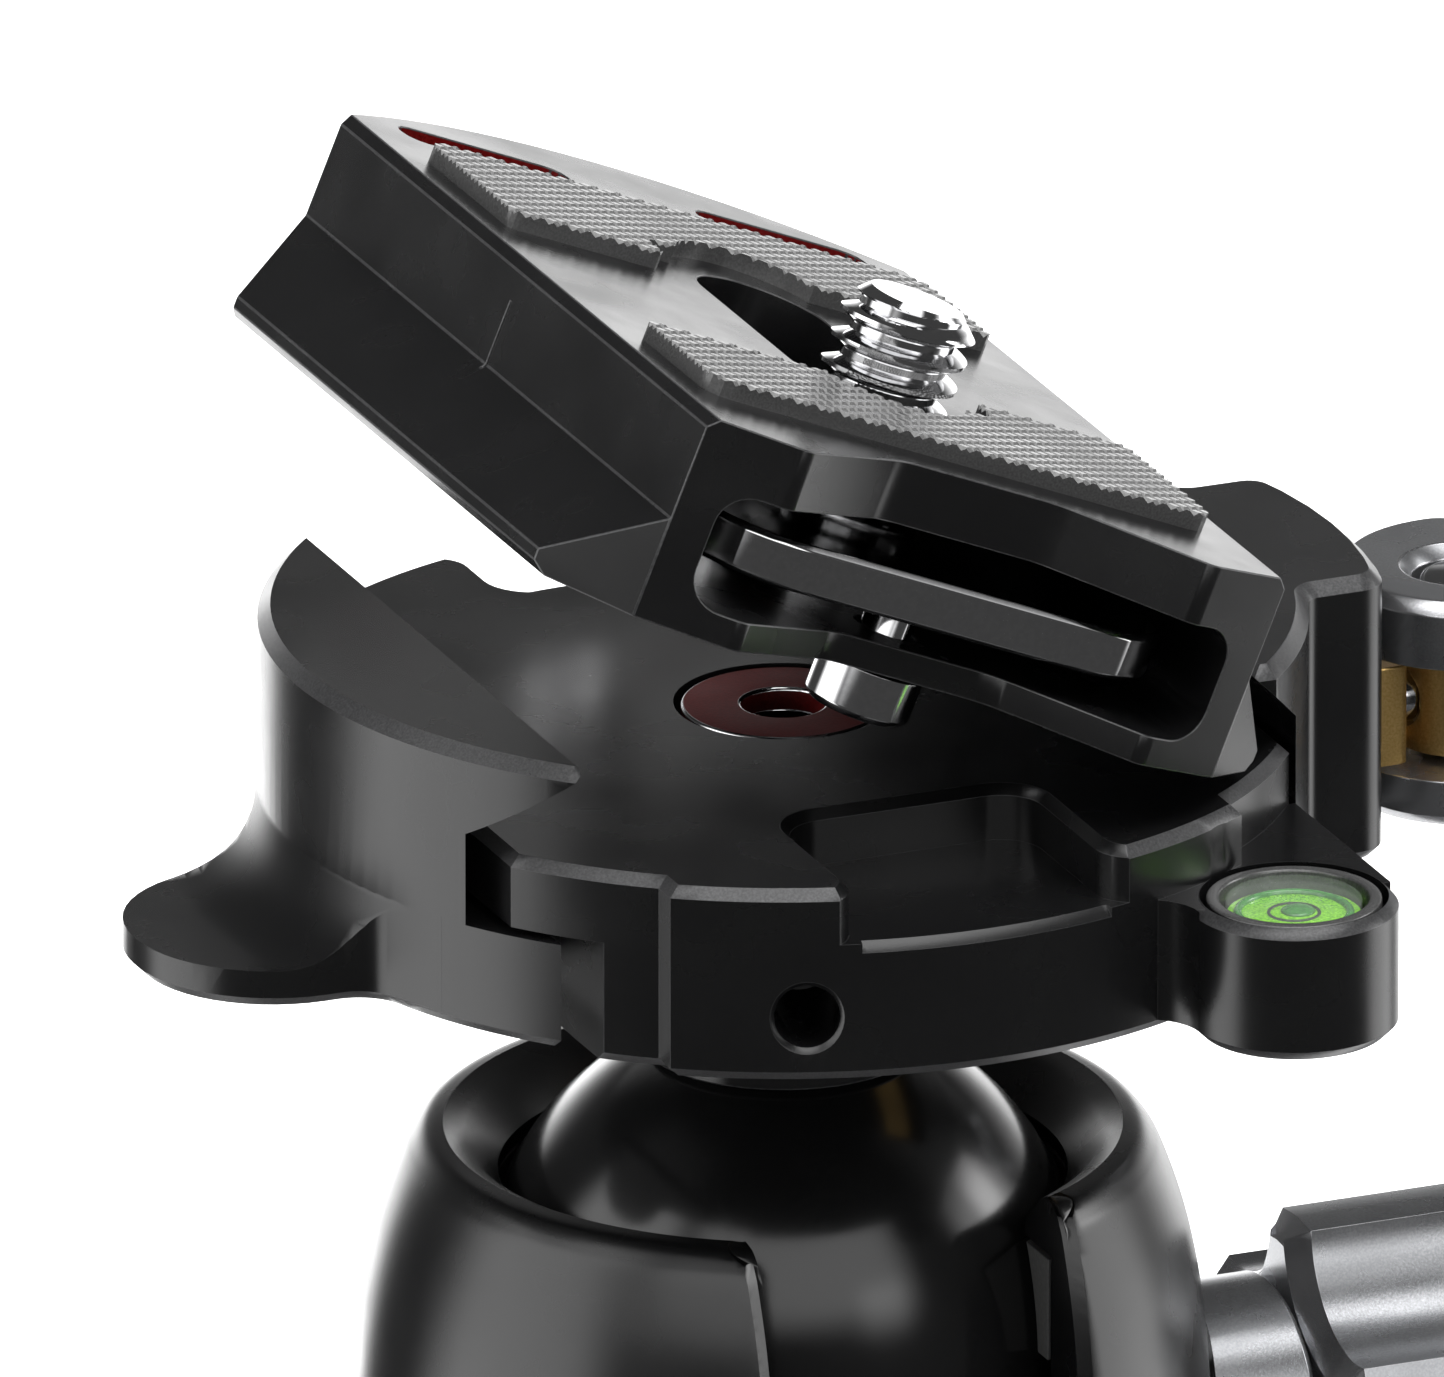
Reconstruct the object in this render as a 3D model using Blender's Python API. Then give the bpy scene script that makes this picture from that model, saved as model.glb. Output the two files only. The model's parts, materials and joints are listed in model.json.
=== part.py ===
"""Compact tripod ball head with a lever clamp and a tilted quick-release plate.

World frame: +Z up, +X towards the main knob and the clamp lever, -Y towards the drop notch.
Every size is in metres. The whole head is moved at the end so that the origin lies
at the centre of its bounding box, on the plane that the base stands on.
"""
import math

import bmesh
import bpy
from mathutils import Matrix, Vector

MM = 0.001

# General fits
GAP = 0.3 * MM
OVERRUN = 3.0 * MM
FINE = 0.5 * MM
SMOOTH_ANGLE = math.radians(32)

# Main stack: the ball, and the radii and heights that follow from it
BALL_RADIUS = 14.0 * MM
SEAT_WALL = 1.6 * MM
HOUSING_WALL = 4.1 * MM
HOUSING_BORE_RADIUS = BALL_RADIUS + SEAT_WALL
HOUSING_RADIUS = HOUSING_BORE_RADIUS + HOUSING_WALL
FLOOR_WALL_TOP_Z = 15.6 * MM
BALL_ABOVE_FLOOR = 1.1 * MM
BALL_CENTRE_Z = FLOOR_WALL_TOP_Z + BALL_ABOVE_FLOOR + BALL_RADIUS
KNOB_AXIS_DROP = 8.5 * MM
KNOB_AXIS_Z = BALL_CENTRE_Z - KNOB_AXIS_DROP
NECK_RISE = 15.3 * MM
PLATFORM_Z = BALL_CENTRE_Z + BALL_RADIUS + NECK_RISE

# Pan base
BASE_HEIGHT = 7.6 * MM
BASE_SETBACK = 0.1 * MM
BASE_RADIUS = HOUSING_RADIUS - BASE_SETBACK
BASE_CHAMFER = 0.8 * MM
FLOOR_WALL = 3.9 * MM
FLOOR_LEDGE = 2.7 * MM
FLOOR_WALL_INNER = HOUSING_BORE_RADIUS - FLOOR_WALL
POST_RADIUS = FLOOR_WALL_INNER - FLOOR_LEDGE
POST_TOP_Z = 11.9 * MM
POST_GROOVE_DEPTH = 1.0 * MM
POST_GROOVE_HALF = 1.0 * MM
WASHER_SETBACK = 1.6 * MM
WASHER_WIDTH = 2.7 * MM
WASHER_OUTER = BASE_RADIUS - WASHER_SETBACK
WASHER_INNER = WASHER_OUTER - WASHER_WIDTH
WASHER_THICKNESS = 0.5 * MM
SOCKET_THREAD_RADIUS = 4.3 * MM
SOCKET_BUSH_RADIUS = 6.3 * MM
SOCKET_BUSH_LENGTH = 7.2 * MM
SOCKET_MOUTH_CHAMFER = 0.5 * MM

# Pan retainer and its screw
RETAINER_CLEARANCE = 0.5 * MM
RETAINER_RADIUS = FLOOR_WALL_INNER - RETAINER_CLEARANCE
RETAINER_THICKNESS = 1.2 * MM
PAN_SCREW_RADIUS = 2.0 * MM
PAN_SCREW_HEAD_RADIUS = 3.6 * MM
PAN_SCREW_HEAD_HEIGHT = 1.7 * MM
PAN_SCREW_SOCKET_RADIUS = 1.6 * MM
PAN_SCREW_SOCKET_DEPTH = 1.1 * MM

# Housing, with the shoulder as set-backs from its radius at heights above the ball's centre
HOUSING_FOOT_CHAMFER = 0.4 * MM
LIP_OVERHANG = 1.0 * MM
LIP_RADIUS = BALL_RADIUS - LIP_OVERHANG
LIP_BOTTOM_ABOVE_BALL = 6.0 * MM
LIP_TOP_ABOVE_BALL = 6.7 * MM
RIM_INNER_SETBACK = 5.13 * MM
RIM_INNER_ABOVE_BALL = 8.4 * MM
RIM_TOP_SETBACK = 4.2 * MM
RIM_TOP_ABOVE_BALL = 8.9 * MM
SHOULDER = (
    (0.1 * MM, -5.5 * MM),
    (0.35 * MM, -1.5 * MM),
    (0.75 * MM, 1.7 * MM),
    (1.4 * MM, 4.6 * MM),
    (2.3 * MM, 7.2 * MM),
    (2.8 * MM, 8.1 * MM),
    (3.4 * MM, 8.7 * MM),
)
NECK_RADIUS = 6.45 * MM
NOTCH_CLEARANCE = 1.05 * MM
NOTCH_HALF_WIDTH = NECK_RADIUS + NOTCH_CLEARANCE
NOTCH_INNER_Y = 2.0 * MM

# Floor ring and ball seats
FLOOR_HOLE_RADIUS = POST_RADIUS + GAP
FLOOR_TOP_Z = 11.9 * MM
UPPER_SEAT_FOOT = 0.8 * MM
LOWER_SEAT_HOLE = 6.5 * MM
LOWER_SEAT_TOP_BELOW_BALL = 6.7 * MM

# Neck
NECK_TOP_CHAMFER = 0.5 * MM
NECK_BORE_DEPTH = 6.0 * MM

# Main knob and its screw
MAIN_SCREW_RADIUS = 2.6 * MM
SHOE_RADIUS = 3.5 * MM
SHOE_LENGTH = 3.4 * MM
LOCK_TRAVEL = 0.6 * MM
COLLAR_RADIUS = 6.2 * MM
COLLAR_STANDOFF = 4.5 * MM
COLLAR_END_X = HOUSING_RADIUS + COLLAR_STANDOFF
KNOB_RADIUS = 9.0 * MM
KNOB_LOBES = 5
KNOB_CREST_HALF_ANGLE = math.radians(10.6)
KNOB_FLUTE_RADIUS = 5.17 * MM
KNOB_FLUTE_FLOOR = 6.4 * MM
KNOB_LENGTH = 20.0 * MM
KNOB_CHAMFER = 1.0 * MM
KNOB_BORE_DEPTH = 14.0 * MM
KNOB_CAP_RADIUS = 4.4 * MM
KNOB_CAP_THICKNESS = 1.2 * MM

# Pan lock, on the far side
PAN_LOCK_Z = 9.9 * MM
PAN_LOCK_RADIUS = 1.3 * MM
PAN_LOCK_PAD_LENGTH = 2.4 * MM
PAN_KNOB_RADIUS = 5.4 * MM
PAN_KNOB_LENGTH = 8.5 * MM
PAN_KNOB_CHAMFER = 0.6 * MM
PAN_KNOB_STANDOFF = 0.9 * MM
PAN_KNOB_START_Y = HOUSING_RADIUS + PAN_KNOB_STANDOFF
PAN_KNOB_BORE_DEPTH = 5.0 * MM

# Clamp body
BODY_RADIUS = 24.7 * MM
BODY_SECTOR_RADIUS = 23.6 * MM
BODY_STEP_X = 14.0 * MM
BODY_SIDE_X = 19.1 * MM
BODY_LOWER_LEFT_X = 16.0 * MM
BODY_THICKNESS = 9.2 * MM
TONGUE_THICKNESS = 3.4 * MM
BODY_CHAMFER = 0.5 * MM
POCKET_HALF_WIDTH = 6.1 * MM
POCKET_DEPTH = 2.6 * MM
POCKET_CORNER = 2.0 * MM
FRONT_POCKET_Y = 13.8 * MM
BACK_POCKET_Y = 17.8 * MM
FRONT_HOLE_TURN = math.radians(-20.1)
FRONT_HOLE_DEPTH_Z = 6.1 * MM
FRONT_HOLE_RADIUS = 1.5 * MM
FRONT_HOLE_SINK_RADIUS = 1.75 * MM
FRONT_HOLE_BOTTOM_RADIUS = 17.0 * MM

# Bubble level
LEVEL_X = 14.6 * MM
LEVEL_Y = -25.0 * MM
LEVEL_BOSS_RADIUS = 4.75 * MM
LEVEL_BOSS_DROP = 2.8 * MM
LEVEL_RECESS_RADIUS = 4.3 * MM
LEVEL_RECESS_DEPTH = 3.0 * MM
LEVEL_CUP_RADIUS = 4.0 * MM
LEVEL_CUP_BORE = 3.4 * MM
LEVEL_CUP_FLOOR = 0.8 * MM
LEVEL_CUP_DROP = 0.1 * MM
LEVEL_VIAL_RADIUS = 3.1 * MM
LEVEL_VIAL_HEIGHT = 0.7 * MM
LEVEL_LENS_HEIGHT = 0.4 * MM
ARM_LEFT_X = 10.6 * MM
ARM_FILLET = 2.6 * MM

# Centre disc and clamp screw
DISC_RADIUS = 4.7 * MM
DISC_HOLE_RADIUS = 1.9 * MM
DISC_THICKNESS = 1.2 * MM
DISC_DROP = 0.05 * MM
CLAMP_SCREW_HEAD_RADIUS = 3.4 * MM
CLAMP_SCREW_HEAD_HEIGHT = 2.4 * MM
CLAMP_SCREW_RADIUS = 2.2 * MM
CLAMP_SCREW_SOCKET_RADIUS = 1.6 * MM
CLAMP_SCREW_SOCKET_DEPTH = 1.7 * MM
CLAMP_SCREW_LENGTH = 8.5 * MM

# Jaws
JAW_HEIGHT = 4.8 * MM
JAW_CHAMFER = 0.6 * MM
JAW_RADIUS = 23.9 * MM
LEFT_LIP_X = -16.8 * MM
LEFT_FACE_X = -20.6 * MM
LEFT_FOOT_X = -17.6 * MM
LEFT_JAW_DEPTH = 8.8 * MM
RIGHT_LIP_X = 16.2 * MM
RIGHT_JAW_DEPTH = 9.0 * MM
RIGHT_JAW_END_Y = 16.4 * MM
LIP_LAND = 0.3 * MM
JAW_TIP_RADIUS = 0.8 * MM
BULGE_X = 26.7 * MM
BULGE_CROWN = 1.0 * MM
BULGE_HALF_WIDTH = 7.3 * MM
BULGE_CORNER = 1.6 * MM
BULGE_FILLET = 1.8 * MM
THUMB_TIP_X = -31.8 * MM
THUMB_HALF_WIDTH = 6.9 * MM
THUMB_FILLET = 4.0 * MM
THUMB_TOP_DEPTH = 6.9 * MM
THUMB_SCOOP_RADIUS = 4.4 * MM
JAW_TRAVEL = 1.2 * MM

# Guide rods, springs and yoke
GUIDE_Y = 7.0 * MM
GUIDE_DEPTH = 6.2 * MM
GUIDE_RADIUS = 1.25 * MM
GUIDE_LEFT_X = -20.6 * MM
SPRING_BORE_RADIUS = 2.65 * MM
SPRING_BORE_END_X = -9.8 * MM
SPRING_MEAN_RADIUS = 1.98 * MM
SPRING_WIRE_RADIUS = 0.28 * MM
SPRING_CURLS = 5
SPRING_POINTS_PER_CURL = 8
YOKE_LEFT_X = 7.6 * MM
YOKE_THICKNESS = 4.0 * MM
YOKE_OVERHANG = 2.4 * MM
YOKE_HALF_LENGTH = GUIDE_Y + YOKE_OVERHANG
YOKE_TOP_DEPTH = 2.6 * MM
YOKE_BOTTOM_DEPTH = 7.8 * MM

# Draw rod, bush block, barrel and pin
DRAW_ROD_DEPTH = 4.0 * MM
DRAW_ROD_RADIUS = 1.25 * MM
BLOCK_START_X = 28.0 * MM
BLOCK_END_X = 29.9 * MM
BLOCK_HALF_WIDTH = 2.7 * MM
BLOCK_HALF_HEIGHT = 2.4 * MM
PIVOT_X = 33.6 * MM
BARREL_RADIUS = 3.1 * MM
BARREL_HALF_HEIGHT = 2.4 * MM
PIN_RADIUS = 2.0 * MM
PIN_SINK_RADIUS = 2.9 * MM
PIN_DROP = 0.4 * MM

# Jaw screws
JAW_SCREW_Y = 4.6 * MM
JAW_SCREW_DEPTH = 4.5 * MM
JAW_SCREW_RADIUS = 1.1 * MM
JAW_SCREW_HEAD_RADIUS = 1.6 * MM
JAW_SCREW_HEAD_LENGTH = 1.6 * MM
JAW_SCREW_SINK_X = 22.0 * MM
JAW_SCREW_END_X = 14.8 * MM

# Lever
LEVER_TOP = 1.9 * MM
LEVER_BOTTOM_DEPTH = 9.0 * MM
LEVER_EYE_RADIUS = 5.6 * MM
LEVER_SLOT_HALF = 2.7 * MM
LEVER_SLOT_RADIUS = 3.5 * MM
LEVER_WIDTH = 4.6 * MM
LEVER_CHAMFER = 0.6 * MM
LEVER_SWING = math.radians(100)
LEVER_SLOT_MARGIN = math.radians(38)
LEVER_SLOT_FRONT = math.radians(75)
LEVER_REACH = math.radians(56)
LEVER_ARM_TOP_DROP = 1.2 * MM

# Quick-release plate, in its own tilted frame
PLATE_TILT = math.radians(22.7)
PLATE_EDGE_X = 15.4 * MM
PLATE_EDGE_HEIGHT = 0.57 * MM
PLATE_FOOT_HALF = 19.1 * MM
PLATE_TOP_HALF = 15.35 * MM
PLATE_HEIGHT = 9.8 * MM
PLATE_FOOT_SIDE = 1.05 * MM
PLATE_FLANK = 3.75 * MM
PLATE_CORNER_Y = 21.7 * MM
PLATE_EAR_X = 10.7 * MM
PLATE_EAR_Y = 23.3 * MM
PLATE_SCALLOP_Y = 19.5 * MM
PLATE_SCALLOP_HALF = 4.1 * MM
PLATE_SCALLOP_FILLET = 3.0 * MM
PLATE_EAR_CORNER = 1.0 * MM
PLATE_FAR_Y = 26.7 * MM
PLATE_EDGE_CHAMFER = 0.5 * MM
TUNNEL_HALF_WIDTH = 13.5 * MM
TUNNEL_FLOOR = 1.4 * MM
TUNNEL_TOP = 6.9 * MM
TUNNEL_CORNER = 1.6 * MM
TUNNEL_END_Y = 15.0 * MM
SLOT_RADIUS = 3.25 * MM
SCREW_Y = -7.5 * MM
SLOT_FAR_Y = 6.0 * MM
TOOL_SLOT_HALF = 5.2 * MM
TOOL_SLOT_NEAR_Y = -12.6 * MM
TOOL_SLOT_FAR_Y = 11.0 * MM
STRAP_SLOT_INNER_X = 3.5 * MM
STRAP_SLOT_OUTER_X = 12.4 * MM
STRAP_SLOT_NEAR_Y = 20.3 * MM
STRAP_SLOT_FAR_Y = 22.6 * MM
STRAP_SLOT_CORNER = 0.9 * MM

# Pads
PAD_THICKNESS = 0.8 * MM
PAD_SINK = 0.05 * MM
PAD_HALF_WIDTH = 13.3 * MM
PAD_OUTER_Y = 17.0 * MM
PAD_INNER_Y = 8.8 * MM
PAD_STEP_X = 5.2 * MM
PAD_STEP = 2.2 * MM
PAD_MIRROR_Y = 0.1 * MM
PAD_CORNER = 1.2 * MM
PAD_SLOT_MARGIN = 0.7 * MM

# Camera screw, carrier and clip
THREAD_RADIUS = 3.17 * MM
THREAD_ROOT_RADIUS = 2.45 * MM
THREAD_PITCH = 1.27 * MM
THREAD_PROUD = 4.9 * MM
THREAD_TIP_CHAMFER = 0.45 * MM
THREAD_ROWS_PER_PITCH = 6
THREAD_SEGMENTS = 20
THREAD_CREST_SHARE = 0.16
THREAD_ROOT_SHARE = 0.30
CAMERA_SHANK_RADIUS = 2.3 * MM
CAMERA_HEAD_RADIUS = 4.6 * MM
CAMERA_HEAD_HEIGHT = 1.2 * MM
CAMERA_DRIVE_WIDTH = 1.1 * MM
CAMERA_DRIVE_DEPTH = 0.7 * MM
CARRIER_BOTTOM = 2.9 * MM
CARRIER_TOP = 5.2 * MM
CARRIER_FRONT_Y = -21.2 * MM
CARRIER_SIDE_CLEARANCE = 0.6 * MM
CARRIER_TAPER = 1.9 * MM
CARRIER_FRONT_HALF = TUNNEL_HALF_WIDTH - CARRIER_SIDE_CLEARANCE
CARRIER_BACK_HALF = CARRIER_FRONT_HALF - CARRIER_TAPER
CARRIER_BACK_Y = -1.5 * MM
CARRIER_FRONT_CORNER = 4.8 * MM
CARRIER_BACK_CORNER = 1.0 * MM
CLIP_RADIUS = 4.0 * MM
CLIP_THICKNESS = 0.5 * MM

# Stop screws
STOP_SCREW_RADIUS = 2.5 * MM
STOP_SCREW_SHANK_RADIUS = 1.2 * MM
STOP_SCREW_PROUD = 2.3 * MM
STOP_SCREW_NEAR_Y = -16.0 * MM
STOP_SCREW_FAR_Y = 18.6 * MM
STOP_SCREW_CHAMFER = 0.35 * MM
STOP_SCREW_SOCKET_RADIUS = 1.1 * MM
STOP_SCREW_SOCKET_DEPTH = 1.2 * MM
STOP_SCREW_SHANK_LENGTH = 2.4 * MM

# Mesh fineness
FINE_SEGMENTS = 64
MEDIUM_SEGMENTS = 32
SMALL_SEGMENTS = 16
BALL_RINGS = 20
CORNER_STEPS = 4

# Colour, roughness and metallic value of each finish
FINISHES = {
    "black_anodised": ((0.022, 0.022, 0.024), 0.42, 0.6),
    "satin_black": ((0.015, 0.015, 0.016), 0.32, 0.4),
    "grey_anodised": ((0.20, 0.21, 0.22), 0.33, 0.8),
    "polished_steel": ((0.72, 0.72, 0.73), 0.12, 1.0),
    "brass": ((0.62, 0.43, 0.19), 0.35, 1.0),
    "dark_red": ((0.085, 0.012, 0.012), 0.35, 0.6),
    "black_rubber": ((0.03, 0.03, 0.03), 0.7, 0.0),
    "white_polymer": ((0.75, 0.74, 0.70), 0.5, 0.0),
    "level_green": ((0.10, 0.42, 0.10), 0.15, 0.0),
    "clear_cover": ((0.70, 0.85, 0.70), 0.05, 0.0),
}


def clear_scene():
    for item in list(bpy.data.objects):
        bpy.data.objects.remove(item, do_unlink=True)


def finish_material(finish):
    existing = bpy.data.materials.get(finish)
    if existing:
        return existing
    colour, roughness, metallic = FINISHES[finish]
    material = bpy.data.materials.new(finish)
    material.use_nodes = True
    shader = material.node_tree.nodes["Principled BSDF"]
    shader.inputs["Base Color"].default_value = (*colour, 1.0)
    shader.inputs["Roughness"].default_value = roughness
    shader.inputs["Metallic"].default_value = metallic
    return material


def add_empty(name, location=(0, 0, 0), parent=None, turn_y=0.0, pivot=(0, 0, 0)):
    """A frame for one moving group. Its pivot is a point of its joint's axis, in its parent's
    coordinates, and the group's pieces keep those coordinates.
    """
    empty = bpy.data.objects.new(name, None)
    empty.location = Vector(location) + Vector(pivot)
    empty.rotation_euler = (0, turn_y, 0)
    empty["pivot"] = pivot
    attach(empty, parent)
    bpy.context.scene.collection.objects.link(empty)
    return empty


def attach(item, parent):
    if parent is None:
        return
    item.parent = parent
    item.matrix_parent_inverse = Matrix.Translation(-Vector(parent["pivot"]))


def add_object(name, bm, finish, parent, origin=(0, 0, 0), cutter=False):
    """Turns a bmesh into an object whose origin is at the given place in its parent's frame."""
    bmesh.ops.remove_doubles(bm, verts=bm.verts, dist=MM * 1e-4)
    bmesh.ops.recalc_face_normals(bm, faces=bm.faces)
    bmesh.ops.translate(bm, verts=bm.verts, vec=-Vector(origin))
    mesh = bpy.data.meshes.new(name)
    bm.to_mesh(mesh)
    bm.free()
    mesh.shade_smooth()
    mesh.set_sharp_from_angle(angle=SMOOTH_ANGLE)
    item = bpy.data.objects.new(name, mesh)
    attach(item, parent)
    item.location = origin
    bpy.context.scene.collection.objects.link(item)
    if cutter:
        item.hide_render = True
        item.display_type = "WIRE"
    else:
        mesh.materials.append(finish_material(finish))
    return item


def carve(target, cutter, operation="DIFFERENCE"):
    step = target.modifiers.new(operation.title(), "BOOLEAN")
    step.operation = operation
    step.object = cutter
    step.solver = "EXACT"


def turned_bmesh(profile, segments, axis="Z", centre=(0, 0, 0)):
    """Turns a profile of (radius, height) points around an axis through the centre."""
    bm = bmesh.new()
    verts = [bm.verts.new((radius, 0, height)) for radius, height in profile]
    pairs = list(zip(verts, verts[1:]))
    touches_axis = profile[0][0] == 0 and profile[-1][0] == 0
    if not touches_axis:
        pairs.append((verts[-1], verts[0]))
    edges = [bm.edges.new(pair) for pair in pairs]
    bmesh.ops.spin(
        bm, geom=verts + edges, axis=(0, 0, 1), cent=(0, 0, 0), dvec=(0, 0, 0),
        angle=math.tau, steps=segments, use_merge=True, use_duplicate=False)
    bmesh.ops.remove_doubles(bm, verts=bm.verts, dist=MM * 1e-4)
    turns = {
        "Z": Matrix.Identity(4),
        "X": Matrix.Rotation(math.pi / 2, 4, "Y"),
        "Y": Matrix.Rotation(-math.pi / 2, 4, "X"),
    }
    bmesh.ops.transform(bm, matrix=Matrix.Translation(centre) @ turns[axis], verts=bm.verts)
    return bm


def turned(name, profile, finish, parent, segments=MEDIUM_SEGMENTS, axis="Z", centre=(0, 0, 0),
           cutter=False):
    bm = turned_bmesh(profile, segments, axis, centre)
    return add_object(name, bm, finish, parent, centre, cutter)


def rod_profile(radius, start, end, chamfer=0.0):
    if chamfer == 0:
        return [(0, start), (radius, start), (radius, end), (0, end)]
    return [(0, start), (radius - chamfer, start), (radius, start + chamfer),
            (radius, end - chamfer), (radius - chamfer, end), (0, end)]


def rod_cutter(name, parent, radius, start, end, axis, centre, segments=SMALL_SEGMENTS):
    profile = rod_profile(radius, start, end)
    return turned(name, profile, None, parent, segments, axis, centre, cutter=True)


def prism_bmesh(outline, bottom, top, top_chamfer=0.0, bottom_chamfer=0.0):
    bm = bmesh.new()
    face = bm.faces.new([bm.verts.new((x, y, bottom)) for x, y in outline])
    if face.normal.z > 0:
        face.normal_flip()
    extruded = bmesh.ops.extrude_face_region(bm, geom=[face])["geom"]
    top_verts = [item for item in extruded if isinstance(item, bmesh.types.BMVert)]
    bmesh.ops.translate(bm, verts=top_verts, vec=(0, 0, top - bottom))
    for level, width in ((top, top_chamfer), (bottom, bottom_chamfer)):
        if width == 0:
            continue
        loop = [edge for edge in bm.edges
                if all(abs(vert.co.z - level) < MM * 1e-3 for vert in edge.verts)]
        bmesh.ops.bevel(bm, geom=loop, offset=width, offset_type="OFFSET", segments=1,
                        profile=0.5, affect="EDGES", clamp_overlap=False)
    return bm


def prism(name, outline, bottom, top, finish, parent, top_chamfer=0.0, bottom_chamfer=0.0,
          origin=(0, 0, 0), cutter=False):
    bm = prism_bmesh(outline, bottom, top, top_chamfer, bottom_chamfer)
    return add_object(name, bm, finish, parent, origin, cutter)


def box_cutter(name, parent, low, high):
    outline = [(low[0], low[1]), (high[0], low[1]), (high[0], high[1]), (low[0], high[1])]
    return prism(name, outline, low[2], high[2], None, parent, cutter=True)


def arc_points(radius, start, end, steps, centre=(0, 0)):
    """Points on an arc, with the end points included. Angles are in radians."""
    points = []
    for index in range(steps + 1):
        angle = start + (end - start) * index / steps
        points.append((centre[0] + radius * math.cos(angle), centre[1] + radius * math.sin(angle)))
    return points


def rounded(corners, steps=CORNER_STEPS):
    """A closed outline with a fillet of its own radius at each (x, y, radius) corner."""
    outline = []
    count = len(corners)
    for index, (x, y, radius) in enumerate(corners):
        here = Vector((x, y))
        if radius == 0:
            outline.append((x, y))
            continue
        before = (Vector(corners[index - 1][:2]) - here).normalized()
        after = (Vector(corners[(index + 1) % count][:2]) - here).normalized()
        half = before.angle(after) / 2
        reach = radius / math.tan(half)
        centre = here + (before + after).normalized() * radius / math.sin(half)
        first = here + before * reach - centre
        last = here + after * reach - centre
        start = math.atan2(first.y, first.x)
        sweep = (math.atan2(last.y, last.x) - start + math.pi) % math.tau - math.pi
        outline += arc_points(radius, start, start + sweep, steps, centre)
    return outline


def circle(radius, centre=(0, 0), segments=MEDIUM_SEGMENTS):
    return arc_points(radius, 0, math.tau * (segments - 1) / segments, segments - 1, centre)


def angle_at_x(radius, x):
    """Angle of the point of a circle at this x, on its +Y side."""
    return math.acos(max(-1.0, min(1.0, x / radius)))


def build_base(parent):
    groove_top = PAN_LOCK_Z + POST_GROOVE_HALF
    groove_bottom = PAN_LOCK_Z - POST_GROOVE_HALF
    bush_top = SOCKET_BUSH_LENGTH + GAP
    washer_floor = BASE_HEIGHT - WASHER_THICKNESS
    profile = [
        (SOCKET_BUSH_RADIUS + GAP, 0),
        (BASE_RADIUS - BASE_CHAMFER, 0),
        (BASE_RADIUS, BASE_CHAMFER),
        (BASE_RADIUS, BASE_HEIGHT - BASE_CHAMFER / 2),
        (BASE_RADIUS - BASE_CHAMFER / 2, BASE_HEIGHT),
        (WASHER_OUTER + GAP, BASE_HEIGHT),
        (WASHER_OUTER + GAP, washer_floor),
        (WASHER_INNER - GAP, washer_floor),
        (WASHER_INNER - GAP, BASE_HEIGHT),
        (POST_RADIUS, BASE_HEIGHT),
        (POST_RADIUS, groove_bottom),
        (POST_RADIUS - POST_GROOVE_DEPTH, PAN_LOCK_Z - POST_GROOVE_HALF / 2),
        (POST_RADIUS - POST_GROOVE_DEPTH, PAN_LOCK_Z + POST_GROOVE_HALF / 2),
        (POST_RADIUS, groove_top),
        (POST_RADIUS, POST_TOP_Z),
        (PAN_SCREW_RADIUS + GAP, POST_TOP_Z),
        (PAN_SCREW_RADIUS + GAP, bush_top),
        (SOCKET_BUSH_RADIUS + GAP, bush_top),
    ]
    turned("pan_base", profile, "black_anodised", parent, FINE_SEGMENTS)
    bush = [
        (SOCKET_THREAD_RADIUS + SOCKET_MOUTH_CHAMFER, 0),
        (SOCKET_BUSH_RADIUS, 0),
        (SOCKET_BUSH_RADIUS, SOCKET_BUSH_LENGTH),
        (SOCKET_THREAD_RADIUS, SOCKET_BUSH_LENGTH),
        (SOCKET_THREAD_RADIUS, SOCKET_MOUTH_CHAMFER),
    ]
    turned("tripod_socket_bush", bush, "polished_steel", parent)
    washer_bottom = washer_floor + GAP
    washer_top = BASE_HEIGHT + GAP / 3
    washer = [(WASHER_INNER, washer_bottom), (WASHER_OUTER, washer_bottom),
              (WASHER_OUTER, washer_top), (WASHER_INNER, washer_top)]
    turned("pan_washer", washer, "white_polymer", parent)
    retainer_bottom = POST_TOP_Z + GAP
    retainer_top = retainer_bottom + RETAINER_THICKNESS
    hole = PAN_SCREW_RADIUS + GAP
    retainer = [(hole, retainer_bottom), (RETAINER_RADIUS, retainer_bottom),
                (RETAINER_RADIUS, retainer_top), (hole, retainer_top)]
    turned("pan_retainer", retainer, "polished_steel", parent)
    head_bottom = retainer_top + GAP
    head_top = head_bottom + PAN_SCREW_HEAD_HEIGHT
    screw = [
        (0, bush_top + GAP),
        (PAN_SCREW_RADIUS, bush_top + GAP),
        (PAN_SCREW_RADIUS, head_bottom),
        (PAN_SCREW_HEAD_RADIUS, head_bottom),
        (PAN_SCREW_HEAD_RADIUS, head_top),
        (PAN_SCREW_SOCKET_RADIUS, head_top),
        (PAN_SCREW_SOCKET_RADIUS, head_top - PAN_SCREW_SOCKET_DEPTH),
        (0, head_top - PAN_SCREW_SOCKET_DEPTH),
    ]
    turned("pan_screw", screw, "polished_steel", parent, SMALL_SEGMENTS)


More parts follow.
